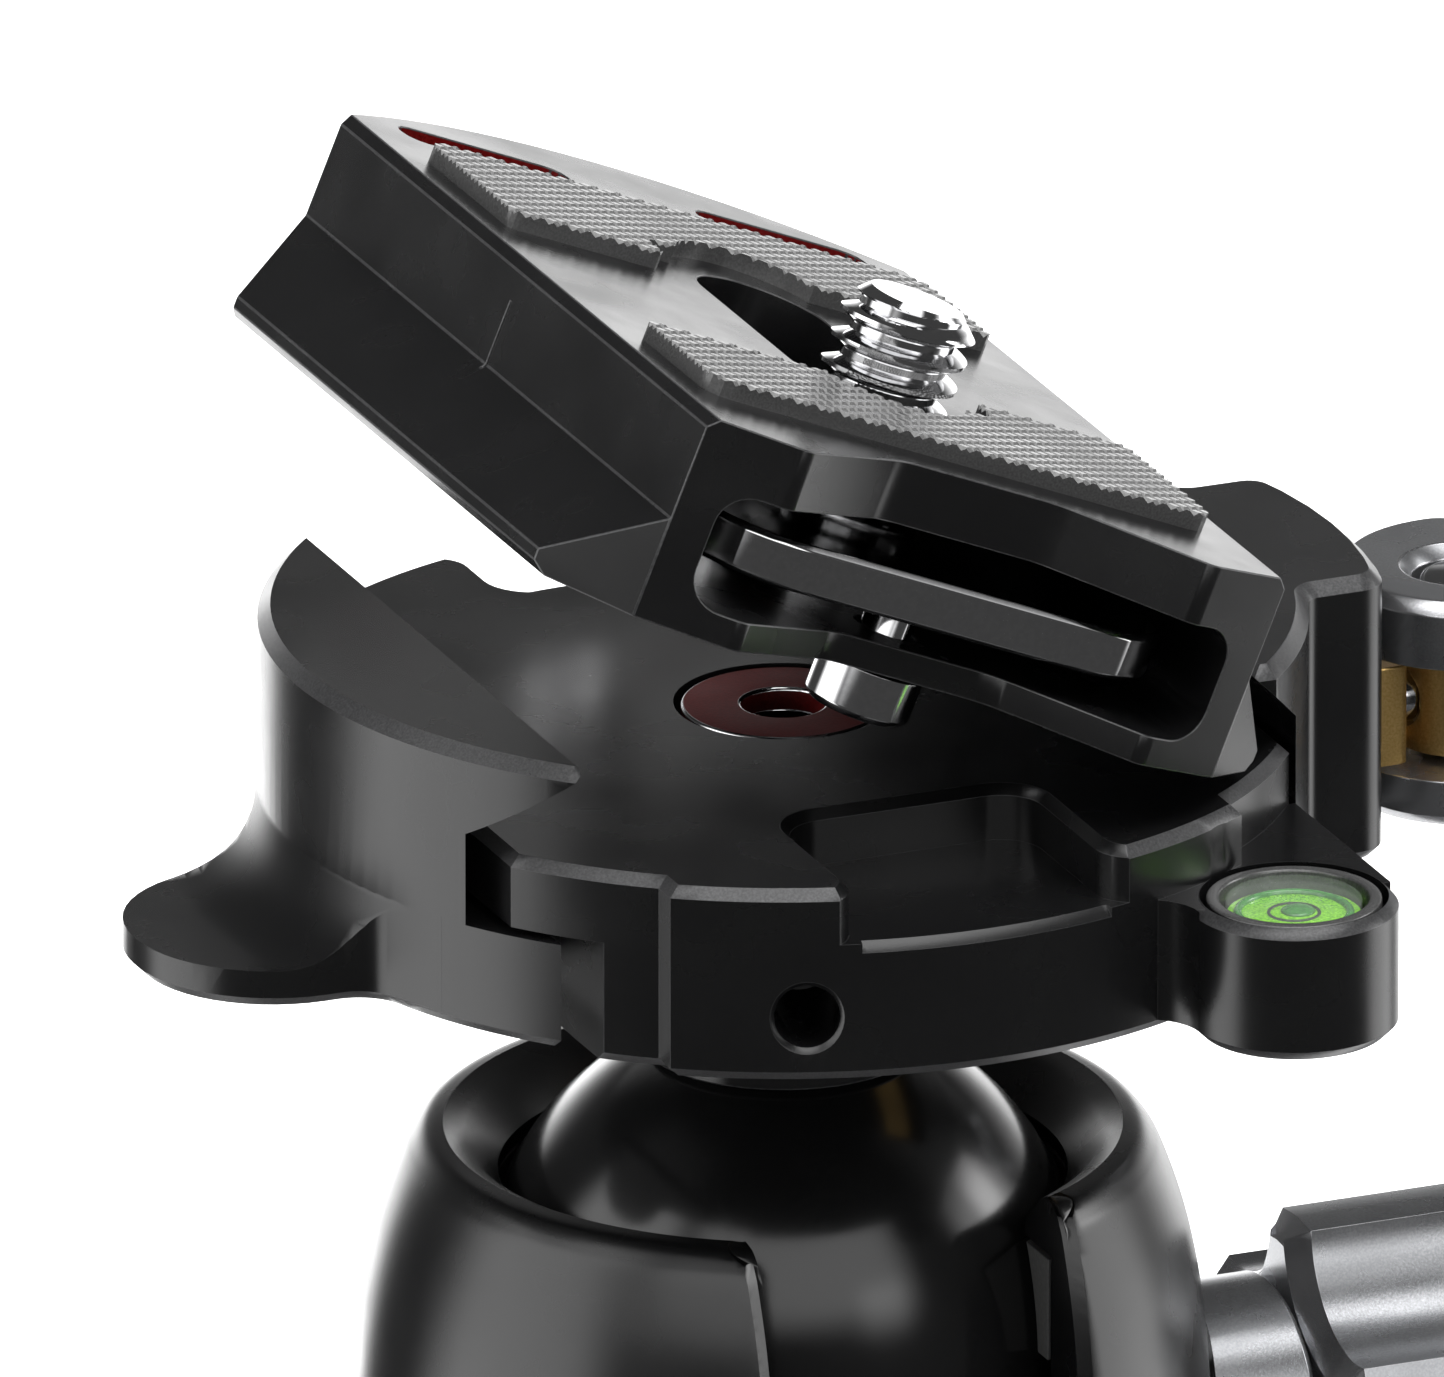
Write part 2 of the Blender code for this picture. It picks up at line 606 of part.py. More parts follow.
def housing_profile():
    foot = BASE_HEIGHT + GAP + GAP / 3
    profile = [
        (HOUSING_BORE_RADIUS, foot),
        (HOUSING_RADIUS - HOUSING_FOOT_CHAMFER, foot),
        (HOUSING_RADIUS, foot + HOUSING_FOOT_CHAMFER),
        (HOUSING_RADIUS, KNOB_AXIS_Z),
    ]
    profile += [(HOUSING_RADIUS - setback, BALL_CENTRE_Z + above) for setback, above in SHOULDER]
    profile += [
        (HOUSING_RADIUS - RIM_TOP_SETBACK, BALL_CENTRE_Z + RIM_TOP_ABOVE_BALL),
        (HOUSING_RADIUS - RIM_INNER_SETBACK, BALL_CENTRE_Z + RIM_INNER_ABOVE_BALL),
        (LIP_RADIUS, BALL_CENTRE_Z + LIP_TOP_ABOVE_BALL),
        (LIP_RADIUS, BALL_CENTRE_Z + LIP_BOTTOM_ABOVE_BALL),
        (HOUSING_BORE_RADIUS, BALL_CENTRE_Z + LIP_BOTTOM_ABOVE_BALL),
    ]
    return profile


def notch_cutter(parent):
    """The drop notch: a slot with a round bottom around the ball's centre, open at the top."""
    top = BALL_CENTRE_Z + RIM_TOP_ABOVE_BALL + OVERRUN
    outline = [(NOTCH_HALF_WIDTH, top - BALL_CENTRE_Z), (-NOTCH_HALF_WIDTH, top - BALL_CENTRE_Z)]
    outline += arc_points(NOTCH_HALF_WIDTH, math.pi, math.tau, SMALL_SEGMENTS)
    bm = prism_bmesh(outline, NOTCH_INNER_Y, HOUSING_RADIUS + OVERRUN)
    stand_up = Matrix.Rotation(math.pi / 2, 4, "X")
    place = Matrix.Translation((0, 0, BALL_CENTRE_Z))
    bmesh.ops.transform(bm, matrix=place @ stand_up, verts=bm.verts)
    return add_object("notch_cutter", bm, None, parent, cutter=True)


def seat_radius(above):
    """Radius of the seat's hollow at this height above the ball's centre."""
    return math.sqrt((BALL_RADIUS + GAP) ** 2 - above ** 2)


def build_housing(parent):
    notch = notch_cutter(parent)
    housing = turned("housing", housing_profile(), "black_anodised", parent, FINE_SEGMENTS)
    carve(housing, notch)
    main_bore = rod_cutter("main_bore_cutter", parent, MAIN_SCREW_RADIUS + GAP, 0,
                           HOUSING_RADIUS + OVERRUN, "X", (0, 0, KNOB_AXIS_Z))
    carve(housing, main_bore)
    lock_bore = rod_cutter("pan_lock_bore_cutter", parent, PAN_LOCK_RADIUS + GAP, POST_RADIUS,
                           HOUSING_RADIUS + OVERRUN, "Y", (0, 0, PAN_LOCK_Z))
    carve(housing, lock_bore)

    foot = BASE_HEIGHT + GAP + GAP / 3
    outer = HOUSING_BORE_RADIUS - GAP
    floor = [(FLOOR_HOLE_RADIUS, foot), (outer, foot), (outer, FLOOR_WALL_TOP_Z),
             (FLOOR_WALL_INNER, FLOOR_WALL_TOP_Z), (FLOOR_WALL_INNER, FLOOR_TOP_Z),
             (FLOOR_HOLE_RADIUS, FLOOR_TOP_Z)]
    floor_ring = turned("floor_ring", floor, "polished_steel", parent, MEDIUM_SEGMENTS)
    floor_bore = rod_cutter("floor_bore_cutter", parent, PAN_LOCK_RADIUS + GAP, 0,
                            HOUSING_RADIUS + OVERRUN, "Y", (0, 0, PAN_LOCK_Z))
    carve(floor_ring, floor_bore)

    seat_top = LIP_BOTTOM_ABOVE_BALL - GAP
    upper = [(outer, BALL_CENTRE_Z + UPPER_SEAT_FOOT), (outer, BALL_CENTRE_Z + seat_top)]
    for index in range(CORNER_STEPS + 1):
        above = seat_top + (UPPER_SEAT_FOOT - seat_top) * index / CORNER_STEPS
        upper.append((seat_radius(above), BALL_CENTRE_Z + above))
    upper_seat = turned("upper_ball_seat", upper, "white_polymer", parent, FINE_SEGMENTS)
    carve(upper_seat, notch)

    cup_bottom = FLOOR_WALL_TOP_Z + GAP
    cup_top = BALL_CENTRE_Z - LOWER_SEAT_TOP_BELOW_BALL
    low_angle = math.asin(LOWER_SEAT_HOLE / (BALL_RADIUS + GAP))
    high_angle = math.acos(LOWER_SEAT_TOP_BELOW_BALL / (BALL_RADIUS + GAP))
    cup = [(LOWER_SEAT_HOLE, cup_bottom), (outer, cup_bottom), (outer, cup_top)]
    for index in range(CORNER_STEPS + 1):
        angle = high_angle + (low_angle - high_angle) * index / CORNER_STEPS
        cup.append(((BALL_RADIUS + GAP) * math.sin(angle),
                    BALL_CENTRE_Z - (BALL_RADIUS + GAP) * math.cos(angle)))
    lower_cup = turned("lower_ball_cup", cup, "white_polymer", parent, FINE_SEGMENTS)
    shoe_window = rod_cutter("shoe_window_cutter", parent, SHOE_RADIUS + GAP, 0,
                             HOUSING_RADIUS, "X", (0, 0, KNOB_AXIS_Z))
    carve(lower_cup, shoe_window)

    bore = MAIN_SCREW_RADIUS + GAP
    collar_profile = [
        (bore, HOUSING_BORE_RADIUS),
        (COLLAR_RADIUS, HOUSING_BORE_RADIUS),
        (COLLAR_RADIUS, COLLAR_END_X - GAP),
        (COLLAR_RADIUS - GAP, COLLAR_END_X),
        (bore, COLLAR_END_X),
    ]
    collar = turned("knob_collar", collar_profile, "grey_anodised", parent, MEDIUM_SEGMENTS, "X",
                    (0, 0, KNOB_AXIS_Z))
    saddle = rod_cutter("collar_saddle_cutter", parent, HOUSING_RADIUS + GAP, 0, PLATFORM_Z, "Z",
                        (0, 0, 0), FINE_SEGMENTS)
    carve(collar, saddle)


def knob_outline():
    """Five crests with round flutes between them. Local -X is up once the knob is laid down."""
    outline = []
    pitch = math.tau / KNOB_LOBES
    crest = KNOB_CREST_HALF_ANGLE
    flute_centre = KNOB_FLUTE_FLOOR + KNOB_FLUTE_RADIUS
    edge_angle = pitch / 2 - crest
    half_sweep = math.atan2(KNOB_RADIUS * math.sin(edge_angle),
                            flute_centre - KNOB_RADIUS * math.cos(edge_angle))
    for index in range(KNOB_LOBES):
        middle = math.pi + pitch * index
        outline += arc_points(KNOB_RADIUS, middle - crest, middle + crest, 2)
        valley = middle + pitch / 2
        centre = (flute_centre * math.cos(valley), flute_centre * math.sin(valley))
        inward = valley + math.pi
        outline += arc_points(KNOB_FLUTE_RADIUS, inward + half_sweep, inward - half_sweep,
                              SMALL_SEGMENTS // 2, centre)[1:-1]
    return outline


def build_main_lock(slide_parent, knob_parent):
    axis_point = (0, 0, KNOB_AXIS_Z)
    shoe_end = math.sqrt(HOUSING_BORE_RADIUS ** 2 - SHOE_RADIUS ** 2) - LOCK_TRAVEL - GAP
    shoe = turned("brake_shoe", rod_profile(SHOE_RADIUS, shoe_end - SHOE_LENGTH - GAP, shoe_end),
                  "brass", slide_parent, SMALL_SEGMENTS, "X", axis_point)
    ball_hollow = ball_bmesh(BALL_RADIUS + GAP)
    hollow = add_object("shoe_hollow_cutter", ball_hollow, None, slide_parent, cutter=True)
    carve(shoe, hollow)
    knob_start = COLLAR_END_X + GAP
    knob_end = knob_start + KNOB_LENGTH
    screw_start = shoe_end + GAP
    screw_end = knob_start + KNOB_BORE_DEPTH - GAP
    turned("main_screw", rod_profile(MAIN_SCREW_RADIUS, screw_start, screw_end, GAP),
           "polished_steel", knob_parent, SMALL_SEGMENTS, "X", axis_point)
    form = prism_bmesh(knob_outline(), knob_start, knob_end, KNOB_CHAMFER, KNOB_CHAMFER)
    lay_down = Matrix.Rotation(math.pi / 2, 4, "Y")
    bmesh.ops.transform(form, matrix=Matrix.Translation(axis_point) @ lay_down, verts=form.verts)
    knob = add_object("main_knob", form, "grey_anodised", knob_parent, axis_point)
    carve(knob, rod_cutter("knob_bore_cutter", knob_parent, MAIN_SCREW_RADIUS + GAP, 0,
                           knob_start + KNOB_BORE_DEPTH, "X", axis_point))
    carve(knob, rod_cutter("knob_cap_cutter", knob_parent, KNOB_CAP_RADIUS + GAP,
                           knob_end - KNOB_CAP_THICKNESS, knob_end + OVERRUN, "X", axis_point,
                           MEDIUM_SEGMENTS))
    cap_start = knob_end - KNOB_CAP_THICKNESS + GAP
    turned("main_knob_cap", rod_profile(KNOB_CAP_RADIUS, cap_start, knob_end, GAP),
           "black_anodised", knob_parent, MEDIUM_SEGMENTS, "X", axis_point)


def build_pan_lock(slide_parent, knob_parent):
    axis_point = (0, 0, PAN_LOCK_Z)
    pad_start = POST_RADIUS - POST_GROOVE_DEPTH + GAP
    pad_end = pad_start + PAN_LOCK_PAD_LENGTH
    tip = PAN_LOCK_RADIUS - POST_GROOVE_HALF
    pad = [(0, pad_start), (tip, pad_start),
           (PAN_LOCK_RADIUS, POST_RADIUS + GAP), (PAN_LOCK_RADIUS, pad_end), (0, pad_end)]
    turned("pan_lock_pad", pad, "brass", slide_parent, SMALL_SEGMENTS, "Y", axis_point)
    screw_end = PAN_KNOB_START_Y + PAN_KNOB_BORE_DEPTH - GAP
    turned("pan_lock_screw", rod_profile(PAN_LOCK_RADIUS, pad_end + GAP, screw_end),
           "polished_steel", knob_parent, SMALL_SEGMENTS, "Y", axis_point)
    bore = PAN_LOCK_RADIUS + GAP
    start = PAN_KNOB_START_Y
    end = start + PAN_KNOB_LENGTH
    rim = PAN_KNOB_RADIUS - PAN_KNOB_CHAMFER
    knob = [
        (0, start + PAN_KNOB_BORE_DEPTH),
        (bore, start + PAN_KNOB_BORE_DEPTH),
        (bore, start),
        (rim, start),
        (PAN_KNOB_RADIUS, start + PAN_KNOB_CHAMFER),
        (PAN_KNOB_RADIUS, end - PAN_KNOB_CHAMFER),
        (rim, end),
        (0, end),
    ]
    turned("pan_lock_knob", knob, "grey_anodised", knob_parent, MEDIUM_SEGMENTS, "Y", axis_point)


def ball_bmesh(radius):
    profile = []
    for index in range(BALL_RINGS + 1):
        angle = math.pi * index / BALL_RINGS
        profile.append((radius * math.sin(angle), -radius * math.cos(angle)))
    profile[0] = (0, -radius)
    profile[-1] = (0, radius)
    return turned_bmesh(profile, MEDIUM_SEGMENTS, "Z", (0, 0, BALL_CENTRE_Z))


def build_ball_and_neck(ball_parent, neck_parent):
    centre = (0, 0, BALL_CENTRE_Z)
    add_object("ball", ball_bmesh(BALL_RADIUS), "satin_black", ball_parent, centre)
    top = PLATFORM_Z - BODY_THICKNESS - GAP
    bore = CLAMP_SCREW_RADIUS + GAP
    clear_radius = BALL_RADIUS + GAP
    profile = [(NECK_RADIUS, top - NECK_TOP_CHAMFER), (NECK_RADIUS - NECK_TOP_CHAMFER, top),
               (bore, top), (bore, top - NECK_BORE_DEPTH), (0, top - NECK_BORE_DEPTH)]
    edge_angle = math.asin(NECK_RADIUS / clear_radius)
    for index in range(CORNER_STEPS + 1):
        angle = edge_angle * index / CORNER_STEPS
        profile.append((clear_radius * math.sin(angle),
                        BALL_CENTRE_Z + clear_radius * math.cos(angle)))
    profile = profile[5:] + profile[:5]
    profile[0] = (0, BALL_CENTRE_Z + clear_radius)
    turned("neck", profile, "satin_black", neck_parent, MEDIUM_SEGMENTS)


def body_outline():
    front_step = angle_at_x(BODY_RADIUS, BODY_STEP_X)
    sector_step = angle_at_x(BODY_SECTOR_RADIUS, BODY_STEP_X)
    side = angle_at_x(BODY_SECTOR_RADIUS, BODY_SIDE_X)
    steps = SMALL_SEGMENTS
    few = CORNER_STEPS
    outline = arc_points(BODY_SECTOR_RADIUS, side, sector_step, few)
    outline += arc_points(BODY_RADIUS, front_step, math.pi - front_step, steps)
    outline += arc_points(BODY_SECTOR_RADIUS, math.pi - sector_step, math.pi - side, few)
    outline += arc_points(BODY_SECTOR_RADIUS, math.pi + side, math.pi + sector_step, few)
    outline += arc_points(BODY_RADIUS, math.pi + front_step, math.tau - front_step, steps)
    outline += arc_points(BODY_SECTOR_RADIUS, math.tau - sector_step, math.tau - side, few)
    return outline


def pocket_outline(inner_y, side):
    """A pocket from inner_y out through the rim, with flared mouth corners."""
    rim_y = math.sqrt(BODY_RADIUS ** 2 - POCKET_HALF_WIDTH ** 2)
    out_y = BODY_RADIUS + OVERRUN
    half = POCKET_HALF_WIDTH
    flare = half + POCKET_CORNER * 2
    corners = [(-half, inner_y, POCKET_CORNER), (half, inner_y, POCKET_CORNER),
               (half, rim_y, POCKET_CORNER), (flare, rim_y, 0), (flare, out_y, 0),
               (-flare, out_y, 0), (-flare, rim_y, 0), (-half, rim_y, POCKET_CORNER)]
    return [(x, y * side) for x, y in rounded(corners)]


def level_arm_outline():
    """The arm that joins the level's boss to the disc, filleted on its left."""
    boss_left = LEVEL_X - LEVEL_BOSS_RADIUS
    boss_right = LEVEL_X + LEVEL_BOSS_RADIUS
    rim_y = -math.sqrt(BODY_RADIUS ** 2 - boss_left ** 2)
    return rounded([
        (boss_right, LEVEL_Y, 0),
        (boss_right, -BODY_STEP_X, 0),
        (0, -BODY_STEP_X, 0),
        (ARM_LEFT_X / 2, rim_y, 0),
        (boss_left, rim_y, ARM_FILLET),
        (boss_left, LEVEL_Y, 0),
    ])


def build_clamp_body(parent):
    top = PLATFORM_Z
    bottom = top - BODY_THICKNESS
    body = prism("clamp_body", body_outline(), bottom, top, "black_anodised", parent,
                 BODY_CHAMFER, BODY_CHAMFER)
    boss_top = top - LEVEL_BOSS_DROP
    boss = prism("level_boss_form", circle(LEVEL_BOSS_RADIUS, (LEVEL_X, LEVEL_Y)), bottom,
                 boss_top, None, parent, BODY_CHAMFER, BODY_CHAMFER, cutter=True)
    arm_top = top - POCKET_DEPTH - GAP
    arm = prism("level_arm_form", level_arm_outline(), bottom + FINE, arm_top, None, parent,
                cutter=True)
    carve(body, arm, "UNION")
    carve(body, boss, "UNION")
    pocket_floor = top - POCKET_DEPTH
    for name, inner_y, side in (("front_pocket_cutter", FRONT_POCKET_Y, -1),
                                ("back_pocket_cutter", BACK_POCKET_Y, 1)):
        outline = pocket_outline(inner_y, side)
        carve(body, prism(name, outline, pocket_floor, top + OVERRUN, None, parent, cutter=True))
    reach = BODY_RADIUS + OVERRUN
    carve(body, box_cutter("left_foot_cutter", parent, (-reach, -reach, bottom - OVERRUN),
                           (-BODY_LOWER_LEFT_X, reach, top - TONGUE_THICKNESS)))
    recess = rod_profile(LEVEL_RECESS_RADIUS, boss_top - LEVEL_RECESS_DEPTH, top)
    carve(body, turned("level_recess_cutter", recess, None, parent, MEDIUM_SEGMENTS, "Z",
                       (LEVEL_X, LEVEL_Y, 0), cutter=True))
    disc_floor = top - DISC_DROP - DISC_THICKNESS - GAP
    head_floor = disc_floor - CLAMP_SCREW_HEAD_HEIGHT - GAP
    bore = [
        (0, bottom - OVERRUN),
        (CLAMP_SCREW_RADIUS + GAP, bottom - OVERRUN),
        (CLAMP_SCREW_RADIUS + GAP, head_floor),
        (CLAMP_SCREW_HEAD_RADIUS + GAP, head_floor),
        (CLAMP_SCREW_HEAD_RADIUS + GAP, disc_floor),
        (DISC_RADIUS + GAP, disc_floor),
        (DISC_RADIUS + GAP, top + OVERRUN),
        (0, top + OVERRUN),
    ]
    carve(body, turned("clamp_bore_cutter", bore, None, parent, MEDIUM_SEGMENTS, cutter=True))
    yoke_low = (YOKE_LEFT_X - GAP, -YOKE_HALF_LENGTH - GAP, bottom - OVERRUN)
    yoke_high = (YOKE_LEFT_X + YOKE_THICKNESS + JAW_TRAVEL + GAP, YOKE_HALF_LENGTH + GAP,
                 top - YOKE_TOP_DEPTH + GAP)
    carve(body, box_cutter("yoke_pocket_cutter", parent, yoke_low, yoke_high))
    for side, word in ((-1, "front"), (1, "back")):
        guide_place = (0, side * GUIDE_Y, top - GUIDE_DEPTH)
        guide = [
            (0, -reach), (SPRING_BORE_RADIUS, -reach), (SPRING_BORE_RADIUS, SPRING_BORE_END_X),
            (GUIDE_RADIUS + GAP, SPRING_BORE_END_X),
            (GUIDE_RADIUS + GAP, YOKE_LEFT_X + YOKE_THICKNESS),
            (0, YOKE_LEFT_X + YOKE_THICKNESS),
        ]
        carve(body, turned(f"guide_{word}_cutter", guide, None, parent, SMALL_SEGMENTS, "X",
                           guide_place, cutter=True))
        screw_place = (0, side * JAW_SCREW_Y, top - JAW_SCREW_DEPTH)
        carve(body, rod_cutter(f"jaw_screw_{word}_cutter", parent, JAW_SCREW_RADIUS + GAP,
                               JAW_SCREW_END_X - GAP, reach, "X", screw_place))
    carve(body, rod_cutter("rod_bore_cutter", parent, DRAW_ROD_RADIUS + GAP, YOKE_LEFT_X, reach,
                           "X", (0, 0, top - DRAW_ROD_DEPTH)))
    sink = FRONT_HOLE_SINK_RADIUS - FRONT_HOLE_RADIUS
    hole = [
        (0, FRONT_HOLE_BOTTOM_RADIUS),
        (FRONT_HOLE_RADIUS, FRONT_HOLE_BOTTOM_RADIUS),
        (FRONT_HOLE_RADIUS, BODY_RADIUS - sink),
        (FRONT_HOLE_SINK_RADIUS + OVERRUN, BODY_RADIUS + OVERRUN),
        (0, BODY_RADIUS + OVERRUN),
    ]
    front_hole = turned("front_hole_cutter", [(radius, -y) for radius, y in hole], None, parent,
                        SMALL_SEGMENTS, "Y", (0, 0, top - FRONT_HOLE_DEPTH_Z), cutter=True)
    front_hole.rotation_euler.z = FRONT_HOLE_TURN
    carve(body, front_hole)


def build_clamp_fittings(parent):
    top = PLATFORM_Z
    disc_top = top - DISC_DROP
    disc = [(DISC_HOLE_RADIUS, disc_top - DISC_THICKNESS), (DISC_RADIUS, disc_top - DISC_THICKNESS),
            (DISC_RADIUS, disc_top), (DISC_HOLE_RADIUS, disc_top)]
    turned("centre_disc", disc, "dark_red", parent)
    head_top = disc_top - DISC_THICKNESS - GAP
    head_bottom = head_top - CLAMP_SCREW_HEAD_HEIGHT
    screw = [
        (0, head_bottom - CLAMP_SCREW_LENGTH),
        (CLAMP_SCREW_RADIUS, head_bottom - CLAMP_SCREW_LENGTH),
        (CLAMP_SCREW_RADIUS, head_bottom),
        (CLAMP_SCREW_HEAD_RADIUS, head_bottom),
        (CLAMP_SCREW_HEAD_RADIUS, head_top),
        (CLAMP_SCREW_SOCKET_RADIUS, head_top),
        (CLAMP_SCREW_SOCKET_RADIUS, head_top - CLAMP_SCREW_SOCKET_DEPTH),
        (0, head_top - CLAMP_SCREW_SOCKET_DEPTH),
    ]
    turned("clamp_screw", screw, "polished_steel", parent, SMALL_SEGMENTS)

    place = (LEVEL_X, LEVEL_Y, 0)
    recess_floor = top - LEVEL_BOSS_DROP - LEVEL_RECESS_DEPTH
    cup_bottom = recess_floor + GAP
    cup_top = top - LEVEL_BOSS_DROP - LEVEL_CUP_DROP
    cup_floor = cup_bottom + LEVEL_CUP_FLOOR
    cup = [(0, cup_bottom), (LEVEL_CUP_RADIUS, cup_bottom), (LEVEL_CUP_RADIUS, cup_top),
           (LEVEL_CUP_BORE, cup_top), (LEVEL_CUP_BORE, cup_floor), (0, cup_floor)]
    turned("level_cup", cup, "black_rubber", parent, MEDIUM_SEGMENTS, "Z", place)
    vial_bottom = cup_floor + GAP
    vial_top = vial_bottom + LEVEL_VIAL_HEIGHT
    turned("level_vial", rod_profile(LEVEL_VIAL_RADIUS, vial_bottom, vial_top), "level_green",
           parent, MEDIUM_SEGMENTS, "Z", place)
    lens_bottom = vial_top + GAP
    turned("level_lens", rod_profile(LEVEL_VIAL_RADIUS, lens_bottom, lens_bottom + LEVEL_LENS_HEIGHT),
           "clear_cover", parent, MEDIUM_SEGMENTS, "Z", place)


def jaw_bore(name, parent, radius, start, end, y, depth):
    return rod_cutter(name, parent, radius, start, end, "X", (0, y, PLATFORM_Z - depth))


def dovetail_cutter(name, parent, lip_x, face_x, foot_x, foot_depth, outward):
    """The space of the sliding dovetail and of the body, left free inside a jaw.

    Its outline is drawn in X and Z and runs along Y. outward is -1 on the left, +1 on the right.
    """
    reach = BODY_RADIUS * -outward
    flank = abs(face_x) - abs(lip_x)
    above = PLATFORM_Z + JAW_HEIGHT + OVERRUN
    outline = [
        (reach, above),
        (lip_x, above),
        (lip_x, PLATFORM_Z + JAW_HEIGHT - LIP_LAND),
        (face_x, PLATFORM_Z + JAW_HEIGHT - LIP_LAND - flank),
        (face_x, PLATFORM_Z - foot_depth),
        (foot_x, PLATFORM_Z - foot_depth),
        (foot_x, PLATFORM_Z - BODY_THICKNESS - OVERRUN),
        (reach, PLATFORM_Z - BODY_THICKNESS - OVERRUN),
    ]
    bm = prism_bmesh(outline, -BODY_RADIUS - OVERRUN, BODY_RADIUS + OVERRUN)
    bmesh.ops.transform(bm, matrix=Matrix.Rotation(math.pi / 2, 4, "X"), verts=bm.verts)
    return add_object(name, bm, None, parent, cutter=True)


def left_jaw_outline():
    """The segment of the disc that the left jaw is cut from."""
    inner_x = LEFT_LIP_X + OVERRUN
    start = angle_at_x(JAW_RADIUS, LEFT_LIP_X + JAW_TIP_RADIUS)
    outline = arc_points(JAW_RADIUS, start, math.tau - start, SMALL_SEGMENTS)
    end_y = JAW_RADIUS * math.sin(start)
    outline += [(inner_x, -end_y), (inner_x, end_y)]
    return outline


def thumb_outline():
    """The thumb rest from above: a round-ended tongue that widens into the jaw."""
    half = THUMB_HALF_WIDTH
    wide = half + THUMB_FILLET
    rim_x = -math.sqrt(JAW_RADIUS ** 2 - wide ** 2)
    root_x = LEFT_FOOT_X + OVERRUN
    return rounded([
        (root_x, -wide, 0),
        (rim_x, -wide, 0),
        (rim_x - THUMB_FILLET / 2, -half, THUMB_FILLET / 2),
        (THUMB_TIP_X, -half, half - FINE / 2),
        (THUMB_TIP_X, half, half - FINE / 2),
        (rim_x - THUMB_FILLET / 2, half, THUMB_FILLET / 2),
        (rim_x, wide, 0),
        (root_x, wide, 0),
    ], SMALL_SEGMENTS // 3)


def build_left_jaw(parent):
    top = PLATFORM_Z
    bottom = top - LEFT_JAW_DEPTH
    jaw = prism("left_jaw", left_jaw_outline(), bottom, top + JAW_HEIGHT, "black_anodised",
                parent, JAW_CHAMFER, BODY_CHAMFER)
    tongue = prism("thumb_form", thumb_outline(), bottom + FINE / 5, top, None, parent, 0.0,
                   BODY_CHAMFER, cutter=True)
    wall = JAW_RADIUS - GAP / 2
    scoop_centre = (wall + THUMB_SCOOP_RADIUS, top - THUMB_TOP_DEPTH + THUMB_SCOOP_RADIUS)
    scoop = [(wall, top + OVERRUN)]
    scoop += arc_points(THUMB_SCOOP_RADIUS, math.pi, math.pi * 1.5, CORNER_STEPS + 2, scoop_centre)
    far = OVERRUN - THUMB_TIP_X
    scoop += [(far, top - THUMB_TOP_DEPTH), (far, top + OVERRUN)]
    carve(tongue, turned("scoop_cutter", scoop, None, parent, FINE_SEGMENTS, cutter=True))
    carve(jaw, tongue, "UNION")
    carve(jaw, dovetail_cutter("left_dovetail_cutter", parent, LEFT_LIP_X, LEFT_FACE_X,
                               LEFT_FOOT_X, TONGUE_THICKNESS + GAP, -1))
    for side, word in ((-1, "front"), (1, "back")):
        carve(jaw, jaw_bore(f"left_guide_{word}_cutter", parent, GUIDE_RADIUS + GAP,
                            GUIDE_LEFT_X - GAP, 0, side * GUIDE_Y, GUIDE_DEPTH))


